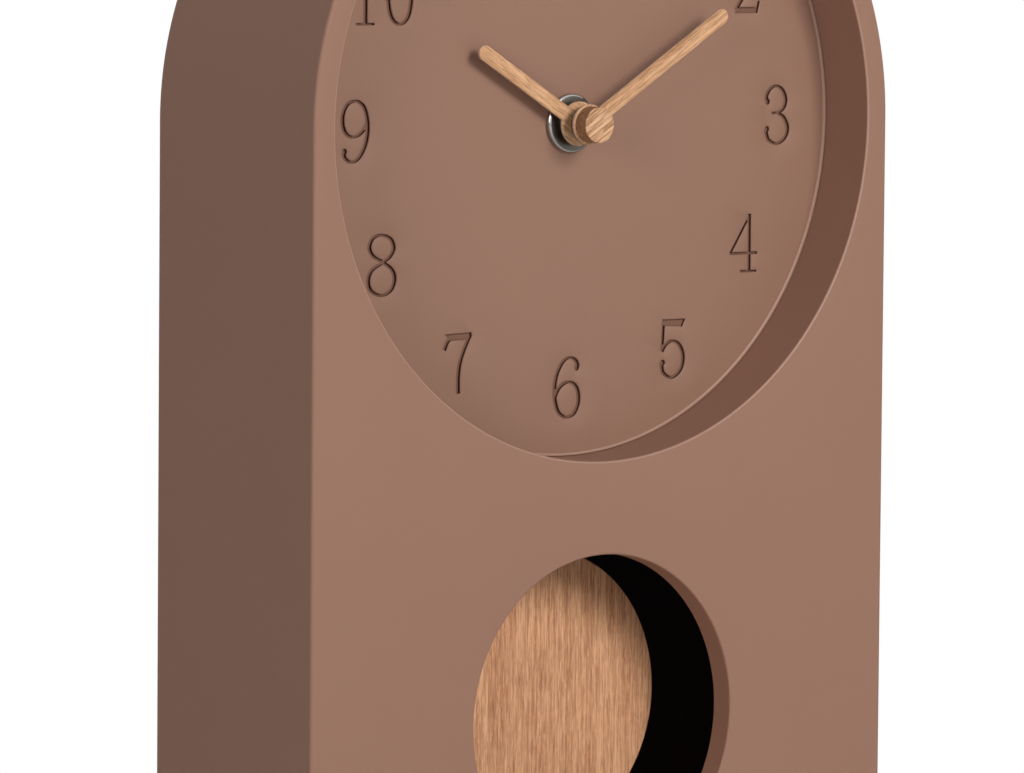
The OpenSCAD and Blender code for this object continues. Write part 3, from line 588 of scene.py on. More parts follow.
@dataclass(frozen=True)
class PaintedReflectionPlate(Finish):
    """Plated metal round the hand shaft: a dark face that is a painted reflection of dark surroundings, and a
    bright rim that is a painted highlight.
    """
    rim: str
    rim_r: float = 0.0067

    def paint(self, g: Graph) -> None:
        """Paints two tones that meet at rim_r from the shaft, the dark one a painted reflection and the
        bright one a painted highlight, with faint smears.

        Args:
            g: The graph of its material.
        """
        # inside rim_r a dark painted reflection, outside it a bright painted highlight
        rim = g.from_shaft().above(self.rim_r, 0.0003)
        smears = g.noise(g.place(), 420.0, 3.0, 0.6)
        colour = g.blend(smears, self.tint(0.8), self.tint(1.3))
        colour = g.blend(rim, colour, tone(self.rim))
        g.bump(smears, 0.000004, 0.3)
        g.dress(Base_Color=colour, Metallic=1.0, Roughness=(1 - rim) * 0.3 + smears * 0.08 + 0.04)


@dataclass(frozen=True)
class Winding(Finish):
    """Enamelled wire wound in close turns."""
    along: Triple
    pitch: float = 0.00022

    def paint(self, g: Graph) -> None:
        """Paints the wire's turns as a sine along the axis, lighter on the crests as painted highlight and
        darker in the valleys as painted shade, and uneven enamel.

        Args:
            g: The graph of its material.
        """
        turns = 2 * math.pi / self.pitch
        spot = g.place(tuple(turns * a for a in self.along))
        split = g.node("ShaderNodeVectorMath", {"operation": "DOT_PRODUCT"}, {0: spot, 1: (1, 1, 1)}, "Value")
        ridge = g.node("ShaderNodeMath", {"operation": "SINE"}, {0: split}) * 0.5 + 0.5
        clouds = g.noise(g.place(), 900.0, 2.0)
        # the sine darkens the valleys as painted shade and lightens the crests as painted highlight; the
        # clouds are uneven enamel
        colour = g.blend(ridge * 0.6 + clouds * 0.3, self.tint(0.45), self.tint(1.1))
        g.bump(ridge, 0.00004, 0.8)
        g.dress(Base_Color=colour, Metallic=0.7, Roughness=clouds * 0.15 + 0.28)


class Rubber(Finish):
    """Soft black rubber with a dusty bloom."""

    def paint(self, g: Graph) -> None:
        """Paints a dull skin with pale bloom in clouds.

        Args:
            g: The graph of its material.
        """
        clouds = g.noise(g.place(), 500.0, 4.0, 0.6)
        skin = g.noise(g.place(), 3500.0, 2.0)
        colour = g.blend(clouds * 0.5, self.tint(), self.tint(2.6))
        g.bump(skin, 0.00003, 0.5)
        g.dress(Base_Color=colour, Roughness=clouds * 0.15 + 0.72, Specular_IOR_Level=0.3)


@dataclass(frozen=True)
class Board(Finish):
    """Lacquered circuit board with copper lines under the lacquer."""
    track: str = "5d9a5e"

    def paint(self, g: Graph) -> None:
        """Paints straight lines of paler green, as conductors under lacquer.

        Args:
            g: The graph of its material.
        """
        cells = g.node("ShaderNodeTexVoronoi", {"distance": "CHEBYCHEV", "feature": "F1"},
                       {"Vector": g.place(), "Scale": 420.0}, "Distance")
        lines = cells.above(0.34, 0.04)
        clouds = g.noise(g.place(), 900.0, 2.0)
        colour = g.blend(lines * 0.7, self.tint(), tone(self.track))
        g.bump(lines, 0.00003, 0.6)
        g.dress(Base_Color=colour, Roughness=clouds * 0.15 + 0.22)


@dataclass(frozen=True)
class CellJacket(Finish):
    """A printed film round a cell: dark along most of its length, coppery at one end."""
    end: str
    line: str = "d8d8d4"
    line_w: float = 0.0006
    split_x: float = 0.011

    def paint(self, g: Graph) -> None:
        """Paints two tones that meet at split_x, a pale line between, and a soft gloss.

        Args:
            g: The graph of its material.
        """
        across = g.node("ShaderNodeSeparateXYZ", None, {0: g.place()}, "X")
        clouds = g.noise(g.place(), 700.0, 2.0)
        colour = g.blend(across.above(self.split_x, 0.0002), self.tint(), tone(self.end))
        line = across.above(self.split_x - self.line_w, 0.0001) - across.above(self.split_x, 0.0001)
        colour = g.blend(line * 0.8, colour, tone(self.line))
        colour = g.blend(clouds * 0.12, colour, self.tint(0.4))
        g.bump(clouds, 0.00001, 0.3)
        g.dress(Base_Color=colour, Metallic=0.35, Roughness=clouds * 0.12 + 0.26)


class Finishes:
    """Every finish of the clock, made once."""

    def __init__(self) -> None:
        """Makes all the materials."""
        self.shell = MattMoulding("shell_moulding", "987260", gloss=0.22).make()
        self.dial = MattMoulding("dial_moulding", "94705e", 0.46, gloss=0.22).make()
        # a lighter tone of the moulding: painted highlight on the recess rim and the dial's lip
        self.edge = MattMoulding("edge_moulding", "a5806e", 0.42, gloss=0.4).make()
        # darker floor and walls of the numeral cuts: painted shade in the grooves
        self.cut_floor_painted_shade = MattMoulding("numeral_floor", "7c5848", 0.6, 0.00001, 0.2).make()
        self.cut_wall_painted_shade = MattMoulding("numeral_wall", "4a3024", 0.6, 0.00001, 0.1).make()
        self.panel = MattMoulding("panel_moulding", "2a2726", 0.55, 0.00003).make()
        self.housing = MattMoulding("housing_moulding", "232120", 0.42, 0.00002).make()
        self.knob = MattMoulding("knob_moulding", "d8d4ca", 0.4).make()
        self.resin = MattMoulding("gear_resin", "e0dccf", 0.34, 0.000006).make()
        self.steel = Metal("bright_steel", "b8babd", 0.3, (1.0, 1.0, 0.08), 0.12).make()
        self.magnet = Metal("plated_magnet", "8c8f94", 0.22).make()
        # nut and washer: dark face as painted reflection, pale rim as painted highlight
        self.chrome = PaintedReflectionPlate("dark_chrome_plate", "645f58", "b5b2ae").make()
        self.nickel = Metal("dull_nickel", "6f6c66", 0.3).make()
        # pale grey tone on the sides of the hands: painted sheen of reflected light
        self.blade_edge = MattMoulding("blade_edge", "bba598", 0.5, 0.00001, 0.3).make()
        self.brass = Metal("turned_brass", "c9a35a", 0.24, (0.1, 1.0, 0.1)).make()
        self.coil = Winding("coil_wire", "b5673a", (1.0, 0.0, 0.0)).make()
        self.drive_coil = Winding("drive_coil_wire", "b5673a", (0.0, 1.0, 0.0)).make()
        self.rubber = Rubber("black_rubber", "1e1e1e").make()
        self.board = Board("lacquered_board", "2f6b46").make()
        self.cell = CellJacket("cell_jacket", "3a3e44", "b98a4a").make()
        self.spare_oak = Oak("spare_oak", "efc497", "c58f60").make()


def settle(piece: bpy.types.Object, body: str, slot: str, *nodes: str) -> None:
    """Puts a finished piece on its body in place of CAD nodes.

    Args:
        piece: The piece.
        body: The CAD body that it moves with.
        slot: The record's material slot of its finish; not used.
        nodes: The CAD nodes that it stands for.
    """
    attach(piece, body)
    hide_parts(*nodes)
    log.info("%s: %d faces", piece.name, len(piece.data.polygons))


# ---------------------------------------------------------------- case
@dataclass
class CaseMoulding:
    """The arched case with its round recess, round window and screw bosses, sizes in mm."""
    half_w: float = 90.0
    depth: float = 65.0
    foot: float = 1.2
    wall: float = 3.0
    front_wall: float = 3.0
    edge_r: float = 0.9
    back_edge_r: float = 0.5
    recess_r: float = 83.7
    web_front: float = 19.0
    web_back: float = 21.5
    bore_r: float = 4.35
    window_at: Pair = (0.0, 62.5)
    window_r: float = 40.5
    lip_back: float = 6.4
    lip_wall: float = 2.4
    rim_r: float = 0.5
    boss_r: float = 4.5
    boss_hole_r: float = 1.42
    boss_span: Pair = (46.5, 60.5)
    boss_hole_front: float = 48.6
    boss_inset: float = 4.0
    boss_heights: Pair = (13.2, 115.0)
    boss_angle: float = 52.0
    corner_r: float = 2.0
    least_corner_r: float = 0.7
    guard: float = 0.4
    arch_count: int = 240
    side_count: int = 24
    corner_count: int = 8
    rim_steps: int = 6

    def outline(self, inset: float) -> np.ndarray:
        """The arch on the front view, set in from the outer skin.

        A half circle about the dial's centre runs from the left to the right over the top, then the right
        side, the base and the left side follow, with arcs at the two lower corners. The number of points is
        the same for every inset, so outlines pair up point by point.

        Args:
            inset: Distance inside the outer skin, in mm.

        Returns:
            The closed loop, starting at the left end of the half circle.
        """
        r = self.half_w - inset
        corner = self.least_corner_r + max(self.corner_r - self.least_corner_r - inset, 0.0)
        low = self.foot + inset
        top = arc((0.0, DIAL_Z), r, 180, 0, self.arch_count)
        down = np.linspace(DIAL_Z, low + corner, self.side_count + 1)[1:-1]
        bend = arc((r - corner, low + corner), corner, 0, -90, self.corner_count)
        right = np.stack([np.full(len(down), r), down], -1)
        across = np.linspace(r - corner, -r + corner, self.side_count + 1)[1:-1]
        base = np.stack([across, np.full(len(across), low)], -1)
        mirror = np.array([-1.0, 1.0])
        return np.concatenate([top, right, bend, base, bend[::-1] * mirror, right[::-1] * mirror])

    def sweep(self, rows: np.ndarray) -> np.ndarray:
        """The outline carried through rows of (inset, depth).

        Point (u, v) is outline(inset[u])[v] at depth[u].
        """
        loops = [(self.outline(inset), depth) for inset, depth in rows]
        return np.stack([lay(loop[:, 0], depth, loop[:, 1]) for loop, depth in loops])

    def rim(self, radius: float, back: float) -> np.ndarray:
        """Profile of a round hole from the front face back, flared by a quarter circle at the front.

        Args:
            radius: Radius of the hole.
            back: Depth where its wall ends.

        Returns:
            Rows of (radius, depth).
        """
        r = self.rim_r
        flare = arc((radius + r, r), r, 270, 180, self.rim_steps)
        return join(flare, [radius, r + self.guard], [radius, back])

    def skin(self, s: Skin) -> None:
        """Outer skin: front edge, sides, back edge and the inner edge of the back rim.

        Args:
            s: The skin that the patch joins.
        """
        e, b, wall, bay = self.edge_r, self.back_edge_r, self.wall, self.depth - self.back_edge_r
        s.grid(self.sweep(join(
            arc((e, e), e, 270, 180, 8), [0, e + self.guard], [0, self.depth / 2], [0, bay - self.guard],
            arc((b, bay), b, 180, 90, 4), arc((wall - b, bay), b, 90, 0, 4),
            [wall, bay - self.guard], [wall, self.web_back])))

    def build(self, finish: bpy.types.Material, edge: bpy.types.Material) -> bpy.types.Object:
        """Builds the moulding as one closed skin.

        Args:
            finish: Its material.
            edge: The material of the rounded edge of the recess, a lighter tone that is a painted highlight.

        Returns:
            The piece.
        """
        s = Skin()
        self.skin(s)
        count = 2 * self.arch_count
        dial_at = (0.0, DIAL_Z)
        recess = self.rim(self.recess_r, self.web_front)
        window = self.rim(self.window_r, self.lip_back)
        ring_r = self.half_w - self.wall
        s.flat([self.outline(self.edge_r), circle(recess[0, 0], count, dial_at),
                circle(window[0, 0], count, self.window_at)], 0.0)
        # the rounded front edge of the recess takes the lighter tone, a painted highlight
        s.turn(recess[:self.rim_steps], dial_at, count, finish=1)
        s.turn(recess[self.rim_steps - 1:], dial_at, count)
        s.turn(join([self.bore_r, self.web_front], [self.bore_r, self.web_back]), SHAFT)
        for radius, depth in ((self.recess_r, self.web_front), (ring_r, self.web_back)):
            s.flat([circle(radius, count, dial_at), circle(self.bore_r, 96, SHAFT)], depth)
        lip_r = self.window_r + self.lip_wall
        s.turn(window, self.window_at, count)
        lip = join([self.window_r, self.lip_back], [lip_r, self.lip_back])
        s.turn(lip, self.window_at, count, smooth=False)
        s.turn(join([lip_r, self.lip_back], [lip_r, self.front_wall]), self.window_at, count)
        inner = self.outline(self.wall)
        lower = np.concatenate([inner[self.arch_count:], inner[:1]])
        under = circle(ring_r, count, dial_at)[count // 4:count * 3 // 4 + 1]
        depths = np.array([self.web_back, self.front_wall])[:, None]
        for run in (lower, under):
            s.grid(lay(run[None, :, 0], depths, run[None, :, 1]), wrap=False)
        pocket = np.concatenate([lower, under[::-1][1:-1]])
        s.flat([pocket, circle(lip_r, count, self.window_at)], self.front_wall)
        self.bosses(s)
        return s.mesh("case_moulding", finish, edge)

    def boss_places(self) -> list[Pair]:
        """The six screw places on the front view.

        Returns:
            Across and up of each place, in mm.
        """
        ring, angle = self.half_w - self.wall - self.boss_inset, math.radians(self.boss_angle)
        high = (ring * math.cos(angle), DIAL_Z + ring * math.sin(angle))
        spots = [(ring, z) for z in self.boss_heights] + [high]
        return [(side * x, z) for side in (-1, 1) for x, z in spots]

    def bosses(self, s: Skin) -> None:
        """Six turned posts with a blind hole from the back, each let into the side wall.

        Args:
            s: The skin that the posts join.
        """
        front, back = self.boss_span
        chamfer = 0.3
        profile = join([0, front], [self.boss_r - chamfer, front], [self.boss_r, front + chamfer],
                       [self.boss_r, back], [self.boss_hole_r, back],
                       [self.boss_hole_r, self.boss_hole_front], [0, self.boss_hole_front])
        for at in self.boss_places():
            s.turn(profile, at, 40)


# ---------------------------------------------------------------- dial
class Pen(Enum):
    """How a mark of a numeral is cut."""
    STROKE = "a curve, thick where it runs up or down and thin where it runs sideways"
    LINE = "a straight cut of even width"
    BALL = "a round end"
    BAR = "a closed shape"


@dataclass(frozen=True)
class Mark:
    """One cut of a numeral, drawn about the numeral's own centre, in mm."""
    pen: Pen
    points: tuple[Pair, ...]
    weight: float = 1.0


THICK = 1.2
THIN = 0.5
BALL_R = 0.75
LEAN = -0.65


def stroke(*points: Pair) -> Mark:
    """A pen stroke through points."""
    return Mark(Pen.STROKE, points)


def line(width: float, a: Pair, b: Pair) -> Mark:
    """A straight cut."""
    return Mark(Pen.LINE, (a, b), width)


def ball(*at: float) -> Mark:
    """A round end."""
    return Mark(Pen.BALL, (at,), BALL_R)


def bar(*points: Pair) -> Mark:
    """A closed shape, its corners clockwise or not."""
    return Mark(Pen.BAR, points)


NINE = (
    ball(-3.2, -4.9),
    stroke((-3.6, -5.1), (-2.9, -6.6), (-1.2, -7.4), (0.9, -6.7), (2.8, -4), (3.7, -0.8), (3.7, 2.5),
           (2.8, 5.6), (1.2, 7.1), (-0.4, 7.4), (-2.4, 6.6), (-3.7, 4.2), (-3.7, 1.4), (-2.7, -0.5),
           (-1, -1.3), (1, -0.9), (2.6, 0.4), (3.6, 2.2)),
)
DIGITS: dict[int, tuple[Mark, ...]] = {
    0: (stroke((0, 7.3), (1.8, 6.5), (3, 4.4), (3.6, 0), (3, -4.4), (1.8, -6.5), (0, -7.3), (-1.8, -6.5),
               (-3, -4.4), (-3.6, 0), (-3, 4.4), (-1.8, 6.5), (0, 7.3)),),
    1: (line(THICK, (0.1, 7.4), (0.1, -7.2)), stroke((0.3, 7.2), (-0.8, 5.6), (-2.3, 4.9)),
        line(THIN, (-2.6, -7.2), (2.8, -7.2))),
    2: (ball(-3.0, 3.7),
        stroke((-3.5, 4.1), (-2.8, 6.2), (-0.2, 7.3), (2.5, 6.2), (3.4, 3.7), (2.4, 0.9), (-0.6, -2.6),
               (-3.5, -6.6)),
        bar((-3.8, -7.4), (3.6, -7.4), (4.3, -4.4), (3.7, -4.4), (3.1, -6), (-3.1, -6))),
    3: (ball(-3.1, 3.4), ball(-3.2, -3.6),
        stroke((-3.5, 3.8), (-3.2, 5.3), (-2.1, 6.7), (-0.2, 7.3), (1.8, 6.3), (2.9, 3.9), (2.2, 1.7),
               (0.4, 0.5)),
        line(THIN, (-1.6, 0.5), (0.8, 0.5)),
        stroke((0.4, 0.5), (2.5, -0.9), (3.6, -3.5), (2.6, -6), (0, -7.3), (-2.5, -6.4), (-3.3, -4.9),
               (-3.6, -3.7))),
    4: (line(THICK * 0.85, (2, 7.3), (2, -7.2)), line(THIN * 1.2, (-4.4, -2.6), (4.6, -2.6)),
        line(THIN * 1.2, (-4.2, -2.6), (1.8, 6.6)), line(THIN, (-0.9, -7.2), (4.4, -7.2))),
    5: (bar((-3.4, 7.4), (4, 7.4), (3.1, 5.5), (-3.4, 5.9)), line(THICK * 0.8, (-3, 6.4), (-3.4, 0)),
        stroke((-3.5, -0.6), (-2.2, 1.1), (-0.1, 1.9), (2.1, 0.9), (3.4, -2), (2.6, -5.4), (-0.2, -7.3),
               (-2.8, -6.2), (-3.5, -4.4), (-3.6, -3.5)),
        ball(-3.2, -3.5)),
    6: tuple(Mark(m.pen, tuple((-x, -z) for x, z in m.points), m.weight) for m in NINE),
    7: (bar((-4, 7.3), (4.3, 7.6), (3.4, 5.9), (-2.4, 5.8)), stroke((-2.3, 6.4), (-3.5, 5.1), (-4.2, 3.5)),
        stroke((3.9, 7.2), (1.9, 3.4), (0.6, 0), (0.1, -3.5), (0.1, -7.4))),
    8: (stroke((-0.2, 7.4), (-2.7, 6.6), (-3.7, 4.4), (-2.5, 2.3), (0.5, 0.7), (3.2, -1.2), (4, -3.5),
               (2.9, -6.2), (-0.1, -7.4), (-3.2, -6.1), (-4, -3.5), (-2.8, -1.1), (0.5, 0.7), (2.7, 2.2),
               (3.7, 4.3), (2.6, 6.5), (-0.2, 7.4)),),
    9: NINE,
}
SHIFTS = {3: (0.9, 0.0), 4: (-1.1, 1.3), 5: (0.5, 0.1), 6: (0.0, 1.0), 7: (-0.5, -0.3), 8: (0.6, 0.5),
          9: (1.7, 0.0), 10: (1.4, -0.3)}


@dataclass
class Cutter:
    """Turns the marks of a numeral into outlines, widened step by step for a rounded edge."""
    steps: int = 6
    ball_count: int = 24

    def curve(self, points: np.ndarray, closed: bool) -> np.ndarray:
        """A smooth curve through points: the cubic that leaves each point along its neighbours' chord.

        Args:
            points: The points.
            closed: Whether the last point meets the first.

        Returns:
            The curve's points, steps of them to each span.
        """
        before, after = (points[-2:-1], points[1:2]) if closed else (
            2 * points[:1] - points[1:2], 2 * points[-1:] - points[-2:-1])
        p = np.concatenate([before, points, after])
        t = (np.arange(self.steps) / self.steps)[None, :, None]
        a, b, c, d = (p[k:len(p) - 3 + k, None] for k in range(4))
        run = 0.5 * (2 * b + (c - a) * t + (2 * a - 5 * b + 4 * c - d) * t ** 2
                     + (3 * b - a - 3 * c + d) * t ** 3)
        return np.concatenate([run.reshape(-1, 2), points[-1:]])

    def outlines(self, mark: Mark, wider: float) -> list[np.ndarray]:
        """The outlines of one mark, moved out on all sides; a stroke comes in short lengths that touch.

        Args:
            mark: The mark.
            wider: Distance that the outline moves out, in mm.

        Returns:
            The closed outlines.
        """
        points = np.array(mark.points, float)
        if mark.pen is Pen.BALL:
            return [circle(mark.weight + wider, self.ball_count, tuple(points[0]))]
        if mark.pen is Pen.BAR:
            return [self.widen(points, wider)]
        closed = bool(np.all(points[0] == points[-1]))
        run = points if mark.pen is Pen.LINE else self.curve(points, closed)
        way = np.gradient(run, axis=0)
        if closed:
            way[0] = way[-1] = run[1] - run[-2]
        way /= np.linalg.norm(way, axis=1, keepdims=True)
        half = np.full(len(run), mark.weight / 2 + wider)
        if mark.pen is Pen.STROKE:
            half = (THIN + (THICK - THIN) * np.abs(way[:, 1])) / 2 + wider
        run = run.copy()
        if not closed:
            run[0] -= way[0] * wider
            run[-1] += way[-1] * wider
        side = np.stack([-way[:, 1], way[:, 0]], -1) * half[:, None]
        left, right = run + side, run - side
        ends = list(range(0, len(run) - 1, self.steps)) + [len(run) - 1]
        return [np.concatenate([left[a:b + 1], right[a:b + 1][::-1]]) for a, b in zip(ends[:-1], ends[1:])]

    @staticmethod
    def widen(points: np.ndarray, wider: float) -> np.ndarray:
        """Moves each corner out along the sum of its two edge normals, over one plus their dot product.

        Args:
            points: A closed outline.
            wider: How far each edge moves out, in mm.

        Returns:
            The moved outline.
        """
        along = np.roll(points, -1, 0) - points
        along /= np.linalg.norm(along, axis=1, keepdims=True)
        out = np.stack([along[:, 1], -along[:, 0]], -1) * np.sign(signed_area(points))
        before = np.roll(out, 1, 0)
        return points + wider * (out + before) / (1 + np.sum(out * before, 1, keepdims=True))

    def union(self, marks: list[tuple[Mark, float]], wider: float) -> tuple[np.ndarray, np.ndarray]:
        """Edges round the union of several marks.

        The marks are triangulated together, and an edge is kept where a covered triangle meets a bare one.

        Args:
            marks: Marks with their shift across, in mm.
            wider: Distance that every outline moves out, in mm.

        Returns:
            The points, and the kept edges as pairs of point numbers.
        """
        loops = [anticlockwise(loop + [shift, 0]) for m, shift in marks for loop in self.outlines(m, wider)]
        starts = np.cumsum([0] + [len(p) for p in loops])
        faces = [list(range(a, b)) for a, b in zip(starts[:-1], starts[1:])]
        points, triangles, covers = triangulate(np.concatenate(loops), np.zeros((0, 2), int), faces)
        full = np.array([bool(c) for c in covers])
        sides = sides_of(triangles)
        owner = np.tile(np.arange(len(triangles)), 3)
        ordered = np.sort(sides, 1)
        keys, back = np.unique(ordered, axis=0, return_inverse=True)
        total = np.bincount(back.ravel(), minlength=len(keys))
        covered = np.bincount(back.ravel(), weights=full[owner], minlength=len(keys))
        keep = ((total == 2) & (covered == 1)) | ((total == 1) & (covered == 1))
        return points, keys[keep]


@dataclass
class DialFace:
    """The dial with its engraved numerals and the lip round its edge, sizes in mm."""
    depth: float = 17.0
    back: float = 19.0
    edge_r: float = 83.55
    fillet: float = 0.6
    bore_r: float = 4.35
    ring_r: float = 67.0
    patch_r: float = 12.8
    patch_count: int = 48
    cut: float = 0.9
    one_gap: float = 3.4
    two_gap: float = 5.5
    two_pull: float = 0.5
    count: int = 480
    widths: tuple[float, ...] = (0.32, 0.22, 0.13, 0.05, 0.0)
    drops: tuple[float, ...] = (0.0, 0.035, 0.09, 0.17, 0.27)

    def place(self, hour: int) -> Pair:
        """The middle of an hour's numeral: an even step on the leaning ring, and the shift in the photo.

        Args:
            hour: The hour.

        Returns:
            Its place on the front view, in mm.
        """
        angle = math.radians(30 * hour + LEAN)
        right, up = SHIFTS.get(hour, (0.0, 0.0))
        return self.ring_r * math.sin(angle) + right, SHAFT_Z + self.ring_r * math.cos(angle) + up

    def marks(self, hour: int) -> list[tuple[Mark, float]]:
        """The marks of an hour's numeral, with their shift across.

        Args:
            hour: The hour.

        Returns:
            Each mark and its shift, in mm.
        """
        if hour < 10:
            return [(m, 0.0) for m in DIGITS[hour]]
        half = self.one_gap if hour == 11 else self.two_gap
        second = half if hour == 11 else half - self.two_pull
        return [(m, -half) for m in DIGITS[1]] + [(m, second) for m in DIGITS[hour - 10]]

    def numeral(self, s: Skin, hour: int) -> Pair:
        """Cuts one numeral into its round patch of the dial.

        Outlines of growing width are triangulated together. A point lies at the drop of the outermost
        outline that it touches, and the innermost outline stands twice: at the last drop and on the floor.

        Args:
            s: The skin that the patch joins.
            hour: The hour.

        Returns:
            The middle of the patch on the front view.
        """
        cutter = Cutter()
        at = self.place(hour)
        rim = circle(self.patch_r, self.patch_count)
        points, edges, start = [rim], [edges_of([rim])], len(rim)
        bounds = []
        for wider in self.widths:
            cut_points, cut_edges = cutter.union(self.marks(hour), wider)
            used, numbers = np.unique(cut_edges, return_inverse=True)
            cut_points, cut_edges = cut_points[used], numbers.reshape(-1, 2)
            bounds.append((cut_points[cut_edges[:, 0]], cut_points[cut_edges[:, 1]]))
            points.append(cut_points)
            edges.append(cut_edges + start)
            start += len(cut_points)
        flat, triangles, _ = triangulate(np.concatenate(points), np.concatenate(edges))
        middles = flat[triangles].mean(1)
        level = sum(inside(middles, a, b).astype(int) for a, b in bounds)
        touch = np.full(len(flat), len(self.widths))
        np.minimum.at(touch, triangles.ravel(), np.repeat(level, 3))
        drop = np.array([*self.drops, self.cut])[touch]
        spot = lay(at[0] + flat[:, 0], self.depth + drop, at[1] + flat[:, 1])
        floor = lay(at[0] + flat[:, 0], self.depth + self.cut, at[1] + flat[:, 1])
        last = len(self.widths)
        s.add(spot, triangles[level == 0], False)
        s.add(spot, triangles[(level > 0) & (level < last)], True)
        # the floor of the cut takes the darker finish, painted shade
        s.add(floor, triangles[level == last], False, 1)
        sides = sides_of(triangles[level == last])
        _, first, total = np.unique(np.sort(sides, 1), axis=0, return_index=True, return_counts=True)
        a, b = sides[first[total == 1]].T
        n = len(flat)
        # the walls of the cut take the dark finish, painted shade
        s.add(np.concatenate([spot, floor]), np.stack([a, b, b + n, a + n], -1), False, 2)
        return at

    def build(self, finish: bpy.types.Material, floor: bpy.types.Material, wall: bpy.types.Material,
              edge: bpy.types.Material) -> bpy.types.Object:
        """Builds the dial as one closed skin.

        Args:
            finish: Its material.
            floor: The material in the bottom of the numerals, darker than the dial as painted shade.
            wall: The material on the sides of the cuts, dark as painted shade.
            edge: The material of the lip, a lighter tone that is a painted highlight.

        Returns:
            The piece.
        """
        s = Skin()
        places = [self.numeral(s, hour) for hour in range(1, 13)]
        centre = (0.0, DIAL_Z)
        flat_r, low = self.edge_r - self.fillet, self.depth - self.fillet
        bore = circle(self.bore_r, 96, SHAFT)
        patches = [circle(self.patch_r, self.patch_count, at) for at in places]
        s.flat([circle(flat_r, self.count, centre), bore, *patches], self.depth)
        # the fillet round the dial takes the lighter tone, a painted highlight
        s.turn(arc((flat_r, low), self.fillet, 90, 0, 8), centre, self.count, finish=3)
        s.turn(join([self.edge_r, low], [self.edge_r, self.back]), centre, self.count)
        s.flat([circle(self.edge_r, self.count, centre), bore], self.back)
        s.turn(join([self.bore_r, self.depth], [self.bore_r, self.back]), SHAFT)
        return s.mesh("dial_face", finish, floor, wall, edge)


# ---------------------------------------------------------------- hands
@dataclass
class Hand:
    """A slim wooden blade on a small disc, sizes in mm."""
    name: str
    node: str
    body: str
    reach: float
    disc_r: float
    bore_r: float
    front: float
    turn: float
    collet_r: float = 0.0
    collet_bore_r: float = 1.92
    collet_t: float = 1.0
    blade_w: float = 3.85
    thick: float = 0.7
    edge_r: float = 0.15
    guard: float = 0.1
    collet_gap: float = 0.005
    bore_count: int = 48

    def outline(self, inset: float) -> np.ndarray:
        """The hand pointing up, set in from its edge.

        The disc's arc runs from the blade's right side round to its left side, and the blade ends in a
        half circle. Where the blade leaves the disc, half the blade's width is the disc's radius times the
        sine of the angle.

        Args:
            inset: Distance inside the edge, in mm.

        Returns:
            The closed loop, with the same number of points for every inset.
        """
        half, disc = self.blade_w / 2 - inset, self.disc_r - inset
        start = math.degrees(math.asin(half / disc))
        tip_z = self.reach - self.blade_w / 2
        up = np.linspace(math.sqrt(disc ** 2 - half ** 2), tip_z, 13)[1:-1]
        left = np.stack([np.full(len(up), -half), up], -1)
        return np.concatenate([arc((0.0, 0.0), disc, 90 - start, start - 270, 72), left,
                               arc((0.0, tip_z), half, 180, 0, 32), (left * [-1, 1])[::-1]])

    def turned_out(self, loop: np.ndarray) -> np.ndarray:
        """Turns a loop to the hand's place and moves it to the shaft.

        Args:
            loop: An outline with the shaft at its origin.

        Returns:
            The outline on the front view, in mm.
        """
        a = math.radians(self.turn)
        x = loop[:, 0] * math.cos(a) + loop[:, 1] * math.sin(a)
        z = -loop[:, 0] * math.sin(a) + loop[:, 1] * math.cos(a)
        return np.stack([SHAFT[0] + x, SHAFT[1] + z], -1)

    def build(self, finish: bpy.types.Material, metal: bpy.types.Material, side: bpy.types.Material) -> None:
        """Builds the hand with eased edges, and a metal collet behind its disc where it has one.

        Args:
            finish: Its material.
            metal: The collet's material.
            side: The material of its cut sides, a pale grey tone that is a painted sheen of reflected light.
        """
        s = Skin()
        e, back = self.edge_r, self.front + self.thick
        front_rows = arc((e, self.front + e), e, 270, 180, 4)
        rows = join(front_rows, [0, self.front + e + self.guard], [0, back - e - self.guard],
                    arc((e, back - e), e, 180, 90, 4))
        loops = [(self.turned_out(self.outline(inset)), depth) for inset, depth in rows]
        wall = np.stack([lay(p[:, 0], d, p[:, 1]) for p, d in loops])
        s.grid(wall[:len(front_rows)])
        # the sides and back edge take the pale tone, a painted sheen
        s.grid(wall[len(front_rows) - 1:], finish=2)
        bore = circle(self.bore_r, self.bore_count, SHAFT)
        s.flat([loops[0][0], bore], self.front)
        s.flat([loops[-1][0], bore], back)
        s.turn(join([self.bore_r, self.front], [self.bore_r, back]), SHAFT, self.bore_count)
        if self.collet_r:
            r, bore_r, c = self.collet_r, self.collet_bore_r, self.guard
            start, end = back + self.collet_gap, back + self.collet_t
            s.turn(join([bore_r, start], [r, start], [r, end - c], [r - c, end], [bore_r, end],
                        [bore_r, start]), SHAFT, 72, finish=1)
        settle(s.mesh(self.name, finish, metal, side), self.body, "oak", self.node)


@dataclass
class TurnedPiece:
    """A round piece on an axis along the depth, from a profile of (radius, depth) in mm."""
    name: str
    node: str
    body: str
    slot: str
    profile: np.ndarray
    at: Pair = SHAFT
    count: int = 120
    closed: bool = False

    def build(self, finish: bpy.types.Material) -> None:
        """Builds the piece; a closed profile runs back to its first row.

        Args:
            finish: Its material.
        """
        s = Skin()
        profile = join(self.profile, self.profile[0]) if self.closed else self.profile
        s.turn(profile, self.at, self.count)
        settle(s.mesh(self.name, finish, sharp=30.0), self.body, self.slot, self.node)


def eased(corner: Pair, radius: float, back: bool = False, steps: int = 6) -> np.ndarray:
    """An outer corner of a profile rounded by a quarter circle, its centre one radius inside the corner.

    Args:
        corner: The corner's (radius, depth).
        radius: The rounding.
        back: Whether it is a back corner, met from the side; a front corner is met from the axis.
        steps: Its number of steps.

    Returns:
        Rows of (radius, depth) in the order of travel.
    """
    if back:
        return arc((corner[0] - radius, corner[1] - radius), radius, 0, 90, steps)
    return arc((corner[0] - radius, corner[1] + radius), radius, -90, 0, steps)


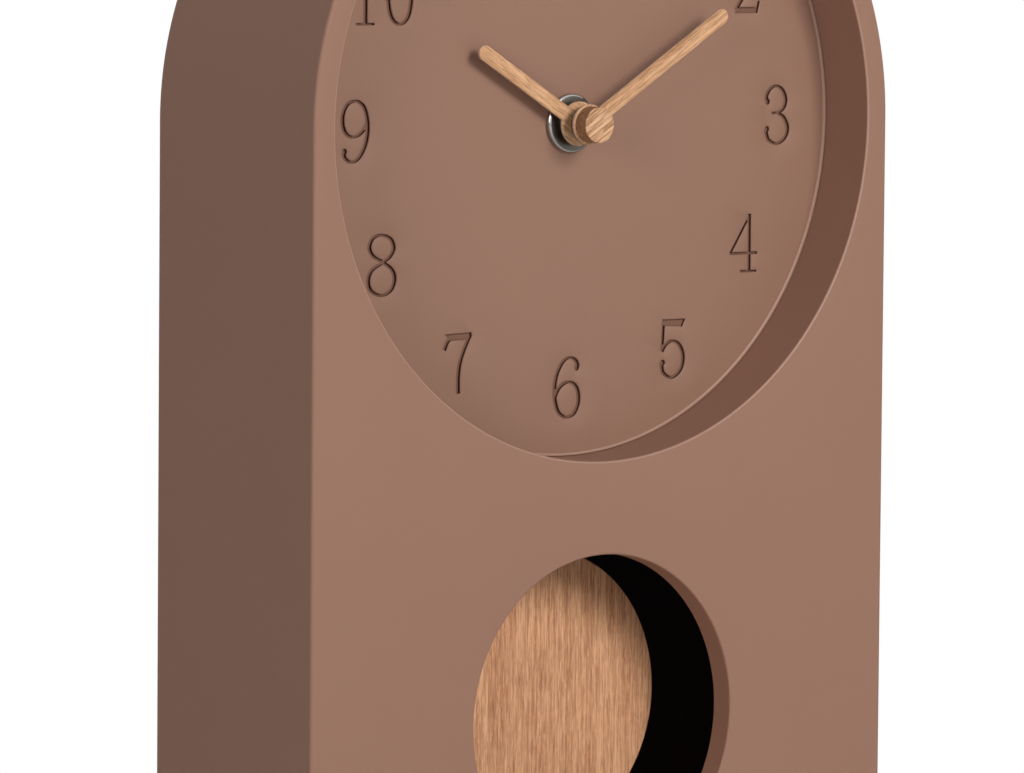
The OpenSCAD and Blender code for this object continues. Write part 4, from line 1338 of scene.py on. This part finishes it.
@dataclass
class HandStack:
    """Hands, cap, nut and washer on the shaft at the dial's centre, sizes in mm."""
    dial: float = 17.0
    minute_front: float = 8.7
    hour_front: float = 12.8
    minute_turn: float = 58.0
    hour_turn: float = 301.3
    chamfer: float = 0.1
    cap_r: float = 4.5
    cap_face_r: float = 3.0
    cap_edge_r: float = 0.3
    cap_front: float = 4.61
    cap_bore_r: float = 1.22
    cap_roof: float = 0.98
    nut_r: float = 7.4
    nut_bore_r: float = 3.97
    nut_edge_r: float = 0.75
    nut_mouth: tuple[Pair, Pair, Pair] = ((3.97, 0.25), (4.2, 0.1), (4.85, 0.0))
    nut_front: float = 15.5
    nut_back: float = 16.6
    washer_r: float = 7.2
    washer_bore_r: float = 4.15
    washer_edge_r: float = 0.12

    def build(self, f: Finishes) -> None:
        """Builds and dresses the stack.

        Args:
            f: The finishes.
        """
        for hand in (
            Hand("minute_blade", "minute_hand", "minute_group", 51.5, 5.05, 1.52, self.minute_front,
                 self.minute_turn, collet_r=4.7),
            Hand("hour_blade", "hour_hand", "hour_group", 36.5, 5.55, 2.52, self.hour_front, self.hour_turn),
        ):
            oak = Oak(hand.name + "_oak", "deae84", "a4744c", -hand.turn, 1.3, 0.9)
            hand.build(oak.make(), f.nickel, f.blade_edge)
        c, e = self.chamfer, self.cap_edge_r
        r, bore_r, front, back = self.cap_r, self.cap_bore_r, self.cap_front, self.minute_front
        roof = front + self.cap_roof
        cap = join([0, front], [self.cap_face_r, front], eased((r, front), e), [r, front + 2 * e],
                   [r, back - c], [r - c, back], [bore_r, back], [bore_r, roof], [0, roof])
        # the cap's rounded edge and side, past 4.4 mm, get painted shade
        cap_oak = Oak("cap_oak", "e2b48c", "9c6b43", -self.minute_turn, 1.5, 1.3, 0.0044)
        TurnedPiece("shaft_cap", "hand_cap", "minute_group", "oak", cap).build(cap_oak.make())
        r, front, back = self.nut_r, self.nut_front, self.nut_back
        nut = join([self.nut_bore_r, back], np.array(self.nut_mouth) + [0, front],
                   eased((r, front), self.nut_edge_r, steps=9), [r, back - c], [r - c, back])
        TurnedPiece("shaft_nut", "fixing_nut", "root", "chrome", nut, closed=True).build(f.chrome)
        r, bore_r, front, back = self.washer_r, self.washer_bore_r, self.nut_back, self.dial
        washer = join([bore_r, back], [bore_r, front], [r - 0.15, front],
                      eased((r, front), self.washer_edge_r, steps=3), [r, back])
        TurnedPiece("shaft_washer", "nut_washer", "root", "chrome", washer, closed=True).build(f.chrome)


@dataclass
class Pendulum:
    """The wooden bob; its rod, clip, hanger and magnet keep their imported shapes."""
    bob_r: float = 37.0
    front: float = 28.0
    back: float = 31.5
    bob_z: float = 65.0
    edge_r: float = 0.35

    def build(self) -> None:
        """Builds the bob with eased edges and upright grain."""
        r, e = self.bob_r, self.edge_r
        profile = join([0, self.front], [r * 0.5, self.front], [r - e - 0.2, self.front],
                       eased((r, self.front), e), [r, self.back - e], eased((r, self.back), e, True),
                       [r * 0.5, self.back], [0, self.back])
        at = (SHAFT[0], self.bob_z)
        oak = Oak("bob_oak", "ebb489", "ad7149", 0.0, 1.2, 0.8)
        TurnedPiece("pendulum_bob", "bob_disc", "pendulum", "oak", profile, at, 240).build(oak.make())


class CarriedNodes:
    """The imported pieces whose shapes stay, and the finish of each."""

    def dress(self, f: Finishes) -> None:
        """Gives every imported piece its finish.

        Args:
            f: The finishes.
        """
        coats = {
            f.panel: ("back_panel",),
            f.rubber: ("foot_pads", "rubber_washer"),
            f.housing: ("movement_front_housing", "movement_rear_housing", "coil_bobbin", "bob_clip"),
            f.resin: ("gear_plate", "hour_wheel", "minute_wheel", "rotor_pinion", "fifth_wheel",
                      "fourth_wheel", "third_wheel", "drive_coil_core", "pendulum_hanger"),
            f.knob: ("setting_knob",),
            f.steel: ("back_panel_screws", "movement_screws", "stator", "quartz_crystal",
                      "battery_contact_plus", "battery_contact_minus", "pendulum_pivot_pin", "pendulum_rod"),
            f.magnet: ("rotor_magnet", "drive_magnet"),
            f.brass: ("minute_arbor", "centre_wheel"),
            f.nickel: ("fixing_bushing",),
            f.coil: ("coil_winding",),
            f.drive_coil: ("drive_coil_winding",),
            f.board: ("circuit_board",),
            f.cell: ("battery_cell",),
            f.shell: ("case_shell",),
            f.dial: ("dial_plate",),
            f.chrome: ("nut_washer", "fixing_nut"),
            f.spare_oak: ("minute_hand", "hour_hand", "hand_cap", "bob_disc"),
        }
        for coat, names in coats.items():
            for name in names:
                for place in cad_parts[name].material_slots:
                    place.material = coat
        log.info("%d packed pieces dressed", sum(len(names) for names in coats.values()))


# ---------------------------------------------------------------- studio
@dataclass
class Softbox:
    """A square lamp that looks at a point, places in metres."""
    name: str
    at: Triple
    aim: Triple
    size: float
    watts: float

    def build(self) -> None:
        """Adds the lamp, its -Z axis along the way to its aim."""
        lamp = bpy.data.lights.new(self.name, "AREA")
        lamp.shape, lamp.size, lamp.energy = "SQUARE", self.size, self.watts
        holder = bpy.data.objects.new(self.name, lamp)
        way = Vector(self.aim) - Vector(self.at)
        holder.matrix_world = Matrix.Translation(self.at) @ way.to_track_quat("-Z", "Y").to_matrix().to_4x4()
        bpy.context.scene.collection.objects.link(holder)


@dataclass
class Studio:
    """Camera, lamps, floor and the plain world."""
    eye: Triple = (-1.15784, -1.49448, 0.29038)
    yaw: float = 37.6572
    pitch: float = -4.4679
    roll: float = 0.4621
    lens: float = 265.61
    ambient: float = 0.082
    aim: Triple = (0.0, 0.0, 0.17)
    floor_radii: Triple = (0.0, 0.5, 4.0)
    fade_start: float = 0.16
    fade_width: float = 0.2

    def camera(self) -> None:
        """Adds the camera at the photograph's angle: turned by yaw, pitched down, then rolled."""
        yaw, pitch, roll = (math.radians(a) for a in (self.yaw, self.pitch, self.roll))
        ahead = Vector((math.sin(yaw) * math.cos(pitch), math.cos(yaw) * math.cos(pitch), math.sin(pitch)))
        right = Vector((math.cos(yaw), -math.sin(yaw), 0.0))
        up = right.cross(ahead)
        x = right * math.cos(roll) + up * math.sin(roll)
        y = up * math.cos(roll) - right * math.sin(roll)
        data = bpy.data.cameras.new("camera")
        data.lens, data.sensor_width, data.sensor_fit, data.clip_end = self.lens, 36.0, "HORIZONTAL", 50.0
        holder = bpy.data.objects.new("camera", data)
        turn = Matrix((x, y, -ahead)).transposed().to_4x4()
        holder.matrix_world = Matrix.Translation(self.eye) @ turn
        bpy.context.scene.collection.objects.link(holder)
        bpy.context.scene.camera = holder

    def world(self) -> None:
        """A white world to look at, dimmer as a light: strength is 1 where a ray is seen or mirrored."""
        world = bpy.data.worlds.new("plain_world")
        world.use_nodes = True
        bpy.context.scene.world = world
        g = Nodes(world.node_tree)
        camera, glossy, through = (g.node("ShaderNodeLightPath", output=f"Is {kind} Ray")
                                   for kind in ("Camera", "Glossy", "Transmission"))
        strength = g.node("ShaderNodeMapRange", {"clamp": True},
                          {"Value": camera + glossy + through, "To Min": self.ambient})
        back = g.tree.nodes["Background"].inputs
        g.put(back["Color"], (1.0, 1.0, 1.0))
        g.put(back["Strength"], strength)

    def floor(self) -> None:
        """A wide pale disc under the clock, which keeps the shadow."""
        s = Skin()
        ring = circle(1.0, 96)
        radius = np.array(self.floor_radii)[:, None]
        x, y = radius * ring[None, :, 0], radius * ring[None, :, 1]
        s.grid(np.stack([x, y, np.zeros_like(x)], -1), smooth=False)
        g = Graph("studio_floor")
        clouds = g.noise(g.place(), 6.0, 2.0)
        g.dress(Base_Color=g.blend(clouds, (0.86, 0.86, 0.86), (0.89, 0.89, 0.89)), Roughness=0.8,
                Specular_IOR_Level=0.2)
        away = g.length(g.place()).above(self.fade_start, self.fade_width)
        seen = g.node("ShaderNodeLightPath", output="Is Camera Ray")
        white = g.node("ShaderNodeEmission", None, {"Color": (1.0, 1.0, 1.0), "Strength": 1.0})
        shown = g.node("ShaderNodeMixShader", None,
                       {0: away * seen, 1: Socket(g, g.shader.outputs[0]), 2: white})
        g.put(g.tree.nodes["Material Output"].inputs["Surface"], shown)
        floor = s.mesh("studio_floor", g.material)
        if floor.data.polygons[0].normal.z < 0:
            floor.data.flip_normals()

    def build(self) -> None:
        """Sets up the whole studio."""
        self.camera()
        self.world()
        self.floor()
        for box in (
            Softbox("key_lamp", (0.18, -2.07, 1.02), self.aim, 0.85, 35.0),
            Softbox("side_lamp", (-2.0, -0.9, 0.7), self.aim, 0.7, 10.6),
            Softbox("back_lamp", (0.9, 2.1, 1.4), self.aim, 1.4, 16.0),
        ):
            box.build()
        bpy.context.scene.view_settings.view_transform = "Standard"


def main() -> None:
    """Builds the clock's looks in order."""
    logging.basicConfig(level=logging.INFO, format="%(name)s: %(message)s", force=True)
    Studio().build()
    f = Finishes()
    CarriedNodes().dress(f)
    settle(CaseMoulding().build(f.shell, f.edge), "root", "shell_plastic", "case_shell")
    settle(DialFace().build(f.dial, f.cut_floor_painted_shade, f.cut_wall_painted_shade, f.edge), "root", "dial_plastic", "dial_plate")
    HandStack().build(f)
    Pendulum().build()


if __name__ == "__main__":
    main()
